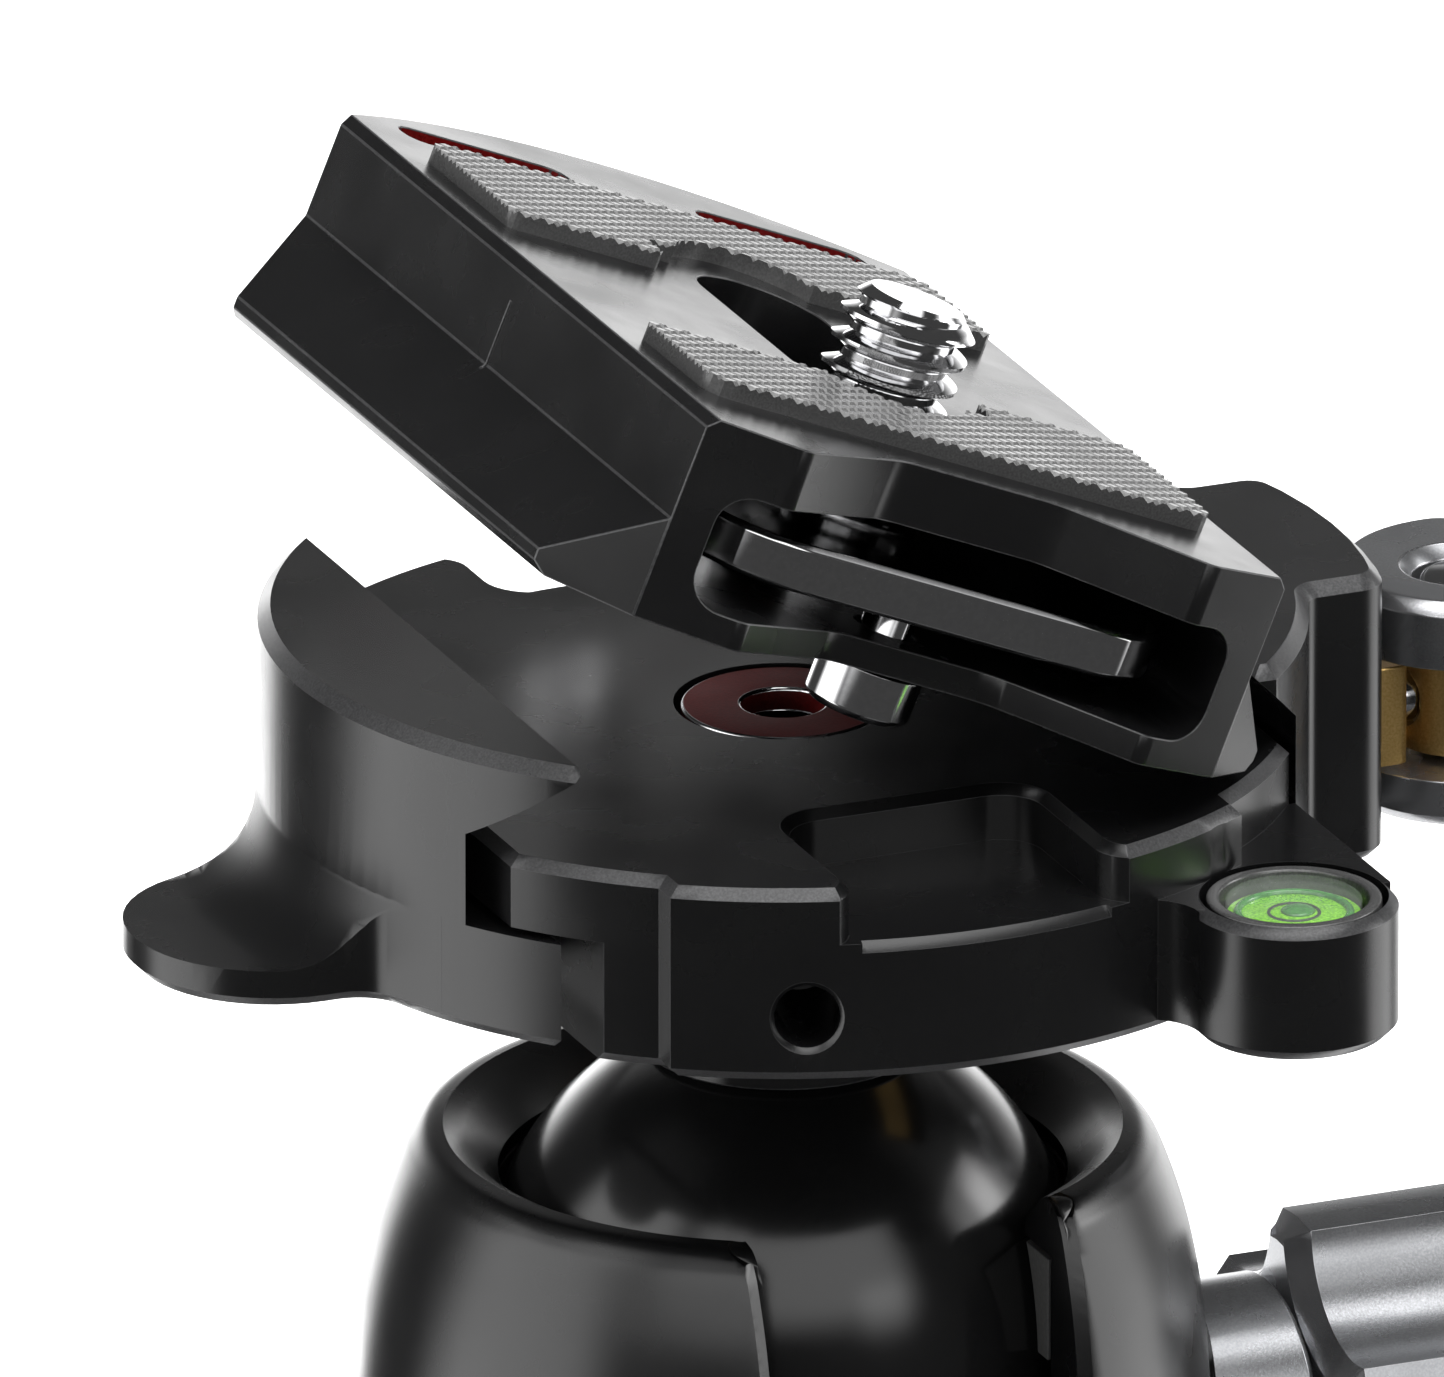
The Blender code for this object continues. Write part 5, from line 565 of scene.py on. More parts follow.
def prism(outline, bottom, top, top_chamfer=0, bottom_chamfer=0):
    bm = bmesh.new()
    face = bm.faces.new([bm.verts.new((x, y, bottom)) for x, y in outline])
    if face.normal.z > 0:
        face.normal_flip()
    extruded = bmesh.ops.extrude_face_region(bm, geom=[face])["geom"]
    top_verts = [item for item in extruded if isinstance(item, bmesh.types.BMVert)]
    bmesh.ops.translate(bm, verts=top_verts, vec=(0, 0, top - bottom))
    for level, width in ((top, top_chamfer), (bottom, bottom_chamfer)):
        if width == 0:
            continue
        loop = [edge for edge in bm.edges
                if all(abs(vert.co.z - level) < SAME_LEVEL for vert in edge.verts)]
        # Chamfers take the edge slot, a painted highlight on black and grey pieces
        bmesh.ops.bevel(bm, geom=loop, offset=width, offset_type="OFFSET", segments=1,
                        profile=0.5, affect="EDGES", clamp_overlap=False,
                        material=EDGE_MATERIAL)
    return bm


def box(low, high):
    return prism([(low[0], low[1]), (high[0], low[1]), (high[0], high[1]), (low[0], high[1])],
                 low[2], high[2])


def moved(bm, matrix):
    bmesh.ops.transform(bm, matrix=matrix, verts=bm.verts)
    return bm


def arc(radius, start, end, steps, centre=(0, 0)):
    """Points on an arc, with the end points included. Angles are in radians."""
    points = []
    for index in range(steps + 1):
        angle = start + (end - start) * index / steps
        points.append((centre[0] + radius * math.cos(angle), centre[1] + radius * math.sin(angle)))
    return points


def circle(radius, centre=(0, 0), segments=MEDIUM):
    return arc(radius, 0, math.tau * (segments - 1) / segments, segments - 1, centre)


def rounded(corners, steps=CORNER_STEPS):
    """A closed outline with a fillet of its own radius at each (x, y, radius) corner."""
    outline = []
    count = len(corners)
    for index, (x, y, radius) in enumerate(corners):
        here = Vector((x, y))
        if radius == 0:
            outline.append((x, y))
            continue
        before = (Vector(corners[index - 1][:2]) - here).normalized()
        after = (Vector(corners[(index + 1) % count][:2]) - here).normalized()
        half = before.angle(after) / 2
        reach = radius / math.tan(half)
        centre = here + (before + after).normalized() * radius / math.sin(half)
        first = here + before * reach - centre
        last = here + after * reach - centre
        start = math.atan2(first.y, first.x)
        sweep = (math.atan2(last.y, last.x) - start + math.pi) % math.tau - math.pi
        outline += arc(radius, start, start + sweep, steps, centre)
    return outline


def rounded_box(left, right, near, far, radius, steps=CORNER_STEPS):
    return rounded([(left, near, radius), (right, near, radius), (right, far, radius),
                    (left, far, radius)], steps)


def bridge(bm, rings, closed=True):
    """Faces between rings of vertices that follow one another."""
    for first, second in zip(rings, rings[1:]):
        for index in range(0 if closed else 1, len(first)):
            bm.faces.new((first[index - 1], first[index], second[index], second[index - 1]))


def smooth_shoulder():
    """The housing's shoulder as a smooth line through its measured points."""
    points = [Vector((HOUSING_RADIUS - setback, above)) for setback, above in SHOULDER]
    line = []
    for index in range(1, len(points) - 1):
        before = points[index - 1]
        here = points[index]
        after = points[index + 1]
        beyond = points[min(index + 2, len(points) - 1)]
        for step in range(SHOULDER_STEPS):
            t = step / SHOULDER_STEPS
            spot = 0.5 * (2 * here + (after - before) * t
                          + (2 * before - 5 * here + 4 * after - beyond) * t ** 2
                          + (3 * here - before - 3 * after + beyond) * t ** 3)
            line.append((spot.x, BALL_Z + spot.y))
    return line


def notch_form():
    """The drop notch: a slot with a round bottom around the ball's centre, open at the top."""
    outline = [(NOTCH_HALF, NOTCH_TOP), (-NOTCH_HALF, NOTCH_TOP)]
    outline += arc(NOTCH_HALF, math.pi, math.tau, SMALL)
    bm = prism(outline, NOTCH_INNER_Y, BEYOND_HOUSING)
    return moved(bm, Matrix.Translation(BALL_CENTRE) @ STAND_UP)


def outer_radius(z):
    """The housing's outer radius at a height."""
    line = [(HOUSING_RADIUS, 0), HOUSING_FOOT[-1], *smooth_shoulder(), RIM_TOP]
    for (r1, z1), (r2, z2) in zip(line, line[1:]):
        if z1 <= z < z2:
            return r1 + (r2 - r1) * (z - z1) / (z2 - z1)
    return RIM_TOP[0]


def notch_edge_form():
    """A flared band that chamfers the notch along the housing's outer face."""
    line = [(NOTCH_HALF, NOTCH_TOP * (1 - row / NOTCH_ROWS), 1, 0) for row in range(NOTCH_ROWS)]
    for index in range(2 * NOTCH_ROWS + 1):
        angle = -math.pi * index / (2 * NOTCH_ROWS)
        cosine, sine = math.cos(angle), math.sin(angle)
        line.append((NOTCH_HALF * cosine, NOTCH_HALF * sine, cosine, sine))
    line += [(-x, z, -nx, nz) for x, z, nx, nz in reversed(line[:NOTCH_ROWS])]
    bm = bmesh.new()
    inner = []
    outer = []
    wide = NOTCH_EDGE + FINE
    for x, above, normal_x, normal_z in line:
        z = BALL_Z + above
        radius = outer_radius(z)
        depth = math.sqrt((radius - NOTCH_EDGE) ** 2 - x ** 2)
        inner.append(bm.verts.new((x, -depth, z)))
        out_x = x + normal_x * wide
        depth = math.sqrt((radius + FINE) ** 2 - out_x ** 2)
        outer.append(bm.verts.new((out_x, -depth, z + normal_z * wide)))
    bridge(bm, (inner, outer))
    count = len(line)
    for ring in (inner, outer):
        for index in range(count // 2):
            far = count - 1 - index
            corners = [ring[index], ring[index + 1], ring[far - 1], ring[far]]
            if index + 1 == far - 1:
                corners.pop(1)
            bm.faces.new(corners)
    return bm


def build_housing():
    housing = add_piece("housing", turned([*HOUSING_FOOT, *smooth_shoulder(), *HOUSING_RIM],
                                          FINE_SEGMENTS), "black_anodised")
    carve(housing, notch_form())
    carve(housing, notch_edge_form())
    carve(housing, rod(MAIN_BORE, 0, BEYOND_HOUSING, "X", KNOB_AXIS))
    carve(housing, rod(PAN_LOCK_BORE, POST_RADIUS, BEYOND_HOUSING, "Y", PAN_LOCK_AXIS))
    carve(PIECES["floor_ring"], rod(PAN_LOCK_BORE, 0, BEYOND_HOUSING, "Y", PAN_LOCK_AXIS))
    upper = [(SEAT_OUTER, BALL_Z + UPPER_SEAT_FOOT), (SEAT_OUTER, BALL_Z + UPPER_SEAT_TOP)]
    for index in range(CORNER_STEPS + 1):
        above = UPPER_SEAT_TOP + (UPPER_SEAT_FOOT - UPPER_SEAT_TOP) * index / CORNER_STEPS
        upper.append((math.sqrt(SEAT_RADIUS ** 2 - above ** 2), BALL_Z + above))
    seat = add_piece("upper_ball_seat", turned(upper, FINE_SEGMENTS), "white_polymer")
    carve(seat, notch_form())
    quarter = math.pi / 2
    cup = [(LOWER_SEAT_HOLE, LOWER_SEAT_BOTTOM_Z), (SEAT_OUTER, LOWER_SEAT_BOTTOM_Z),
           (SEAT_OUTER, BALL_Z - LOWER_SEAT_TOP)]
    cup += arc(SEAT_RADIUS, math.acos(LOWER_SEAT_TOP / SEAT_RADIUS) - quarter,
               math.asin(LOWER_SEAT_HOLE / SEAT_RADIUS) - quarter, CORNER_STEPS, (0, BALL_Z))
    lower_cup = add_piece("lower_ball_cup", turned(cup, FINE_SEGMENTS), "white_polymer")
    carve(lower_cup, rod(SHOE_RADIUS + GAP, 0, HOUSING_RADIUS, "X", KNOB_AXIS))
    carve(PIECES["knob_collar"], rod(HOUSING_RADIUS + GAP, 0, PLATFORM_Z, "Z", ORIGIN,
                                     FINE_SEGMENTS))


def ball_form(radius):
    profile = [(radius * math.sin(math.pi * index / BALL_RINGS),
                -radius * math.cos(math.pi * index / BALL_RINGS))
               for index in range(1, BALL_RINGS)]
    return turned([(0, -radius), *profile, (0, radius)], MEDIUM, "Z", BALL_CENTRE)


def build_ball_and_neck():
    add_piece("ball", ball_form(BALL_RADIUS), "satin_black")
    edge = math.asin(NECK_RADIUS / SEAT_RADIUS)
    hollow = arc(SEAT_RADIUS, math.pi / 2, math.pi / 2 - edge, CORNER_STEPS, (0, BALL_Z))[1:]
    add_piece("neck", turned([(0, BALL_Z + SEAT_RADIUS), *hollow, *NECK_SHOULDER]), "satin_black")


def knob_outline():
    """Five crests with round flutes between them. Local -X is up once the knob is laid down."""
    outline = []
    pitch = math.tau / KNOB_LOBES
    edge = pitch / 2 - KNOB_CREST
    sweep = math.atan2(KNOB_RADIUS * math.sin(edge), FLUTE_CENTRE - KNOB_RADIUS * math.cos(edge))
    for index in range(KNOB_LOBES):
        middle = math.pi + pitch * index
        outline += arc(KNOB_RADIUS, middle - KNOB_CREST, middle + KNOB_CREST,
                       KNOB_CREST_STEPS)
        valley = middle + pitch / 2
        centre = (FLUTE_CENTRE * math.cos(valley), FLUTE_CENTRE * math.sin(valley))
        inward = valley + math.pi
        outline += arc(FLUTE_RADIUS, inward + sweep, inward - sweep, ARC_STEPS, centre)[1:-1]
    return outline


def build_main_knob():
    carve(PIECES["brake_shoe"], ball_form(SEAT_RADIUS))
    form = prism(knob_outline(), KNOB_START, KNOB_END, KNOB_CHAMFER, KNOB_CHAMFER)
    lay_down = Matrix.Translation(KNOB_AXIS) @ Matrix.Rotation(math.pi / 2, 4, "Y")
    knob = add_piece("main_knob", moved(form, lay_down), "grey_anodised")
    carve(knob, rod(MAIN_BORE, 0, KNOB_BORE_END, "X", KNOB_AXIS))
    carve(knob, rod(CAP_POCKET_RADIUS, CAP_POCKET_START, KNOB_END + OVERRUN, "X", KNOB_AXIS,
                    MEDIUM))


def angle_at_x(radius, x):
    """Angle of the point of a circle at this x, on its +Y side."""
    return math.acos(max(-1.0, min(1.0, x / radius)))


def body_outline():
    front = angle_at_x(BODY_RADIUS, STEP_X)
    sector = angle_at_x(SECTOR_RADIUS, STEP_X)
    side = angle_at_x(SECTOR_RADIUS, SIDE_X)
    outline = []
    for turn in (0, math.pi):
        outline += arc(SECTOR_RADIUS, turn + side, turn + sector, CORNER_STEPS)
        outline += arc(BODY_RADIUS, turn + front, turn + math.pi - front, SMALL)
        outline += arc(SECTOR_RADIUS, turn + math.pi - sector, turn + math.pi - side, CORNER_STEPS)
    return outline


def pocket_outline(inner_y, side):
    """A pocket from inner_y out through the rim, with flared mouth corners."""
    rim_y = math.sqrt(BODY_RADIUS ** 2 - POCKET_HALF ** 2)
    flare = POCKET_HALF + POCKET_CORNER * 2
    corners = [(-POCKET_HALF, inner_y, POCKET_CORNER), (POCKET_HALF, inner_y, POCKET_CORNER),
               (POCKET_HALF, rim_y, POCKET_CORNER), (flare, rim_y, 0), (flare, BEYOND_BODY, 0),
               (-flare, BEYOND_BODY, 0), (-flare, rim_y, 0), (-POCKET_HALF, rim_y, POCKET_CORNER)]
    return [(x, y * side) for x, y in rounded(corners)]


def level_arm_outline():
    """The arm that joins the level's boss to the disc, filleted on its left."""
    left = LEVEL_X - BOSS_RADIUS
    right = LEVEL_X + BOSS_RADIUS
    rim_y = -math.sqrt(BODY_RADIUS ** 2 - left ** 2)
    return rounded([(right, LEVEL_Y, 0), (right, -STEP_X, 0), (0, -STEP_X, 0),
                    (ARM_LEFT_X, rim_y, 0), (left, rim_y, ARM_FILLET), (left, LEVEL_Y, 0)])


def flare_form(outline):
    """A prism at the platform whose sides lean out by as much as it is high."""
    over = POCKET_EDGE + FINE
    wide = []
    for index, (x, y) in enumerate(outline):
        here = Vector((x, y))
        first = (here - Vector(outline[index - 1])).normalized()
        last = (Vector(outline[(index + 1) % len(outline)]) - here).normalized()
        normal = Vector((first.y + last.y, -first.x - last.x)).normalized()
        lean = max(normal.dot(Vector((first.y, -first.x))), MITRE_LIMIT)
        wide.append(here + normal * over / lean)
    bm = bmesh.new()
    foot = [bm.verts.new((x, y, PLATFORM_Z - POCKET_EDGE)) for x, y in outline]
    head = [bm.verts.new((x, y, PLATFORM_Z + FINE)) for x, y in wide]
    bridge(bm, (foot, head))
    bm.faces.new(foot)
    bm.faces.new(head)
    return bm


def sill_form(side):
    """A sloped band that chamfers a pocket's floor where it runs out through the rim."""
    half = math.asin(POCKET_HALF / BODY_RADIUS)
    inner = BODY_RADIUS - POCKET_EDGE
    outer = BODY_RADIUS + FINE
    section = [(inner, POCKET_FLOOR), (outer, POCKET_FLOOR - POCKET_EDGE - FINE),
               (outer, POCKET_FLOOR + POCKET_EDGE), (inner, POCKET_FLOOR + POCKET_EDGE)]
    bm = bmesh.new()
    rings = []
    for index in range(SMALL + 1):
        angle = math.pi / 2 * side - half + 2 * half * index / SMALL
        rings.append([bm.verts.new((radius * math.cos(angle), radius * math.sin(angle), z))
                      for radius, z in section])
    bridge(bm, rings)
    bm.faces.new(rings[0])
    bm.faces.new(rings[-1])
    return bm


def build_clamp_body():
    body = add_piece("clamp_body", prism(body_outline(), BODY_BOTTOM, PLATFORM_Z, CHAMFER,
                                         CHAMFER), "black_anodised")
    carve(body, prism(level_arm_outline(), BODY_BOTTOM + FINE, POCKET_FLOOR - GAP), "UNION")
    carve(body, prism(circle(BOSS_RADIUS, (LEVEL_X, LEVEL_Y)), BODY_BOTTOM, BOSS_TOP, CHAMFER,
                      CHAMFER), "UNION")
    for inner_y, side in POCKETS:
        outline = pocket_outline(inner_y, side)
        carve(body, prism(outline, POCKET_FLOOR, PLATFORM_Z + OVERRUN))
        carve(body, flare_form(outline[::side]))
        carve(body, sill_form(side))
    carve(body, box((-BEYOND_BODY, -BEYOND_BODY, BELOW_BODY),
                    (-LOWER_LEFT_X, BEYOND_BODY, PLATFORM_Z - TONGUE)))
    carve(body, rod(RECESS_RADIUS, RECESS_FLOOR, PLATFORM_Z, "Z", LEVEL_PLACE, MEDIUM))
    carve(body, turned(CLAMP_BORE))
    carve(body, box((YOKE_LEFT_X - GAP, -YOKE_HALF - GAP, BELOW_BODY),
                    (YOKE_RIGHT_X + JAW_TRAVEL + GAP, YOKE_HALF + GAP, YOKE_TOP + GAP)))
    for side, _ in SIDES:
        carve(body, turned(SPRING_BORE, SMALL, "X", (0, side * GUIDE_Y, GUIDE_Z)))
        carve(body, rod(JAW_SCREW_HOLE, JAW_SCREW_START_X, BEYOND_BODY, "X",
                        (0, side * JAW_SCREW_Y, JAW_SCREW_Z)))
    carve(body, rod(ROD_HOLE, YOKE_LEFT_X, BEYOND_BODY, "X", ROD_PLACE))
    front_hole = turned(FRONT_HOLE, SMALL, "Y", FRONT_HOLE_PLACE)
    carve(body, moved(front_hole, Matrix.Rotation(FRONT_HOLE_TURN, 4, "Z")))


def dovetail_form(lip_x, face_x, foot_x, foot_depth, outward):
    """The space of the sliding dovetail and of the body, left free inside a jaw.

    Its outline is drawn in X and Z and runs along Y. outward is -1 on the left, +1 on the right.
    """
    reach = BODY_RADIUS * -outward
    flank = abs(face_x) - abs(lip_x)
    above = JAW_TOP + OVERRUN
    land = JAW_TOP - LIP_LAND
    foot = PLATFORM_Z - foot_depth
    outline = [(reach, above), (lip_x, above), (lip_x, land), (face_x, land - flank),
               (face_x, foot), (foot_x, foot), (foot_x, BELOW_BODY), (reach, BELOW_BODY)]
    return moved(prism(outline, -BEYOND_BODY, BEYOND_BODY), STAND_UP)


def thumb_outline():
    """The thumb rest from above: a round-ended tongue that widens into the jaw."""
    wide = THUMB_HALF + THUMB_FILLET
    fillet = THUMB_FILLET / 2
    rim_x = -math.sqrt(JAW_RADIUS ** 2 - wide ** 2)
    root_x = LEFT_FOOT_X + OVERRUN
    half = [(root_x, -wide, 0), (rim_x, -wide, 0), (rim_x - fillet, -THUMB_HALF, fillet),
            (THUMB_TIP_X, -THUMB_HALF, THUMB_HALF - FINE / 2)]
    return rounded(half + [(x, -y, radius) for x, y, radius in reversed(half)], FEW_STEPS)


def build_left_jaw():
    start = angle_at_x(JAW_RADIUS, LEFT_LIP_X + JAW_TIP)
    end_y = JAW_RADIUS * math.sin(start)
    outline = arc(JAW_RADIUS, start, math.tau - start, SMALL)
    outline += [(LEFT_LIP_X + OVERRUN, -end_y), (LEFT_LIP_X + OVERRUN, end_y)]
    jaw = add_piece("left_jaw", prism(outline, LEFT_JAW_BOTTOM, JAW_TOP, JAW_CHAMFER, CHAMFER),
                    "black_anodised")
    tongue = prism(thumb_outline(), LEFT_JAW_BOTTOM + FINE / 5, PLATFORM_Z, 0, CHAMFER)
    tongue = carve(jaw, tongue, "UNION")
    wall = JAW_RADIUS - GAP / 2
    scoop = [(wall, PLATFORM_Z + OVERRUN)]
    scoop += arc(SCOOP_RADIUS, math.pi, math.pi * 1.5, SCOOP_STEPS,
                 (wall + SCOOP_RADIUS, THUMB_TOP + SCOOP_RADIUS))
    far = OVERRUN - THUMB_TIP_X
    scoop += [(far, THUMB_TOP), (far, PLATFORM_Z + OVERRUN)]
    carve(tongue, turned(scoop, FINE_SEGMENTS))
    carve(jaw, dovetail_form(LEFT_LIP_X, LEFT_FACE_X, LEFT_FOOT_X, TONGUE + GAP, -1))
    for side, _ in SIDES:
        carve(jaw, rod(GUIDE_HOLE, GUIDE_LEFT_X, 0, "X", (0, side * GUIDE_Y, GUIDE_Z)))


def build_jaw_carriage():
    outline = rounded_box(YOKE_LEFT_X, YOKE_RIGHT_X, -YOKE_HALF, YOKE_HALF, FINE,
                          BLUNT_CORNER_STEPS)
    yoke = add_piece("jaw_yoke", prism(outline, YOKE_BOTTOM, YOKE_TOP), "brass")
    start, end = YOKE_LEFT_X - OVERRUN, YOKE_RIGHT_X + OVERRUN
    for side, _ in SIDES:
        carve(yoke, rod(GUIDE_HOLE, start, end, "X", (0, side * GUIDE_Y, GUIDE_Z)))
    carve(yoke, rod(ROD_HOLE, start, end, "X", ROD_PLACE))
    carve(PIECES["pivot_barrel"], rod(ROD_HOLE, YOKE_LEFT_X, PIVOT_X, "X", ROD_PLACE))


def right_jaw_outline():
    end = math.asin(RIGHT_JAW_END_Y / JAW_RADIUS)
    wide = BULGE_HALF + BULGE_FILLET
    meet = math.asin(wide / JAW_RADIUS)
    root_x = math.sqrt(JAW_RADIUS ** 2 - BULGE_HALF ** 2)
    half = [(JAW_RADIUS * math.cos(meet), -wide, 0), (root_x, -BULGE_HALF, BULGE_FILLET / 2),
            (BULGE_X, -BULGE_HALF, BULGE_CORNER)]
    crown = [(BULGE_X + BULGE_CROWN * (1 - share ** 2), BULGE_HALF * share, 0)
             for share in BULGE_SHARES]
    outline = [(RIGHT_LIP_X, -RIGHT_JAW_END_Y)]
    outline += arc(JAW_RADIUS, -end, -meet, FEW_STEPS)[:-1]
    outline += rounded(half + crown + [(x, -y, radius) for x, y, radius in reversed(half)])
    outline += arc(JAW_RADIUS, meet, end, FEW_STEPS)[1:]
    outline.append((RIGHT_LIP_X, RIGHT_JAW_END_Y))
    return outline


def build_right_jaw():
    jaw = add_piece("right_jaw", prism(right_jaw_outline(), RIGHT_JAW_BOTTOM, JAW_TOP,
                                       JAW_CHAMFER, CHAMFER), "black_anodised")
    carve(jaw, dovetail_form(RIGHT_LIP_X, RIGHT_FACE_X, RIGHT_FACE_X, TONGUE, 1))
    carve(jaw, rod(ROD_HOLE, 0, BULGE_X + OVERRUN, "X", ROD_PLACE))
    for side, word in SIDES:
        place = (0, side * JAW_SCREW_Y, JAW_SCREW_Z)
        carve(jaw, turned(JAW_SCREW_BORE, SMALL, "X", place))
        add_piece(f"right_jaw_screw_{word}", turned(JAW_SCREW, SMALL, "X", place),
                  "polished_steel")
    outline = rounded([
        (BUSH_START_X, -BUSH_HALF, 0), (BUSH_END_X, -BUSH_HALF, FINE),
        (BUSH_END_X, BUSH_HALF, FINE), (BUSH_START_X, BUSH_HALF, 0)], BLUNT_CORNER_STEPS)
    bush = add_piece("rod_bush", prism(outline, ROD_PLACE[2] - BUSH_HALF_HEIGHT,
                                       ROD_PLACE[2] + BUSH_HALF_HEIGHT), "brass")
    carve(bush, rod(ROD_HOLE, BUSH_START_X - OVERRUN, BUSH_END_X + OVERRUN, "X", ROD_PLACE))


def cam_outline():
    """The eye's outline around the pivot: round, with a lobe that rises as the lever closes."""
    outline = []
    for index in range(MEDIUM):
        angle = math.tau * index / MEDIUM
        turned_by = math.pi - angle
        if turned_by <= 0:
            rise = 0.0
        elif turned_by <= LEVER_SWING:
            rise = JAW_TRAVEL * turned_by / LEVER_SWING
        else:
            rise = JAW_TRAVEL * (1 - (turned_by - LEVER_SWING) / (math.pi - LEVER_SWING))
        radius = EYE_RADIUS + rise
        outline.append((radius * math.cos(angle), radius * math.sin(angle)))
    return outline


def lever_arm_outline():
    """The arm as a band along an arc about the head's axis, turned out to the open place."""
    tip_centre = (PIVOT_X * math.cos(LEVER_REACH), PIVOT_X * math.sin(LEVER_REACH))
    closed = arc(PIVOT_X + LEVER_HALF, 0, LEVER_REACH, ARC_STEPS)
    closed += arc(LEVER_HALF, LEVER_REACH, LEVER_REACH + math.pi, CORNER_STEPS, tip_centre)[1:-1]
    closed += arc(PIVOT_X - LEVER_HALF, LEVER_REACH, 0, ARC_STEPS)
    cosine, sine = math.cos(-LEVER_SWING), math.sin(-LEVER_SWING)
    return [((x - PIVOT_X) * cosine - y * sine, (x - PIVOT_X) * sine + y * cosine)
            for x, y in closed]


def build_lever():
    at_pivot = Matrix.Translation(PIVOT)
    eye = prism(cam_outline(), LEVER_BOTTOM, LEVER_TOP, LEVER_CHAMFER, LEVER_CHAMFER)
    lever = add_piece("clamp_lever", moved(eye, at_pivot), "grey_anodised")
    arm = prism(lever_arm_outline(), LEVER_BOTTOM + LEVER_CHAMFER, LEVER_ARM_TOP, LEVER_CHAMFER,
                LEVER_CHAMFER)
    carve(lever, moved(arm, at_pivot), "UNION")
    carve(lever, prism(circle(SLOT_EYE_RADIUS, (PIVOT_X, 0), SMALL), SLOT_LOW, SLOT_HIGH))
    wedge = arc(EYE_RADIUS + JAW_TRAVEL + OVERRUN, SLOT_START, SLOT_END, SMALL, (PIVOT_X, 0))
    carve(lever, prism([(PIVOT_X, 0), *wedge], SLOT_LOW, SLOT_HIGH))
    carve(lever, turned(PIN_BORE, MEDIUM, "Z", PIVOT))


def plate_outline():
    """The plate from above: cut foot corners, near end drawn in between ears, bulging far end."""
    bulge = PLATE_FAR_Y - PLATE_CORNER_Y
    radius = (TOP_HALF ** 2 + bulge ** 2) / (2 * bulge)
    half = math.asin(TOP_HALF / radius)
    near = [(FOOT_HALF, -FOOT_CORNER_Y, 0), (TOP_HALF, -PLATE_CORNER_Y, 0), *NEAR_END]
    outline = rounded([(-x, y, fillet) for x, y, fillet in near] + near[::-1]
                      + [(FOOT_HALF, FOOT_CORNER_Y, 0)])
    outline += arc(radius, math.pi / 2 - half, math.pi / 2 + half, ARC_STEPS,
                   (0, PLATE_FAR_Y - radius))
    return outline + [(-FOOT_HALF, FOOT_CORNER_Y)]


def build_plate():
    section = HALF_SECTION + tuple((-x, z) for x, z in reversed(HALF_SECTION))
    bar = moved(prism(section, -BEYOND_PLATE, BEYOND_PLATE), STAND_UP)
    plate = add_piece("plate", bar, "black_anodised", PLATE)
    carve(plate, prism(plate_outline(), -OVERRUN, ABOVE_PLATE), "INTERSECT", PLATE)
    tunnel = prism(rounded_box(-TUNNEL_HALF, TUNNEL_HALF, TUNNEL_FLOOR, TUNNEL_TOP, TUNNEL_CORNER),
                   -TUNNEL_END_Y, BEYOND_PLATE)
    slot = arc(SLOT_RADIUS, math.pi, math.tau, ARC_STEPS, (0, SCREW_Y))
    slot += arc(SLOT_RADIUS, 0, math.pi, ARC_STEPS, (0, SLOT_FAR_Y))
    for form in (moved(tunnel, STAND_UP), prism(slot, TUNNEL_MIDDLE, ABOVE_PLATE),
                 prism(rounded_box(*TOOL_SLOT, TUNNEL_CORNER), -OVERRUN, TUNNEL_MIDDLE)):
        carve(plate, form, place=PLATE)
    for strap_slot in STRAP_SLOTS:
        outline = rounded_box(*strap_slot, STRAP_CORNER, SMALL_CORNER_STEPS)
        tool = carve(plate, prism(outline, -OVERRUN, ABOVE_PLATE), place=PLATE)
        for face in tool.data.polygons:
            face.material_index = STRAP_MATERIAL
        for kind in ("black_anodised", "black_painted_highlight", "strap_red"):
            tool.data.materials.append(KINDS[kind])
    carve(plate, box(*INDEX_LINE), place=PLATE)
    for (y, hole_top), word in zip(STOP_HOLES, ("near", "far")):
        carve(plate, rod(STOP_HOLE_RADIUS, -OVERRUN, hole_top, "Z", (0, y, 0)), place=PLATE)
        add_piece(f"stop_screw_{word}", turned(STOP_SCREW, SMALL, "Z", (0, y, 0)),
                  "polished_steel", PLATE)


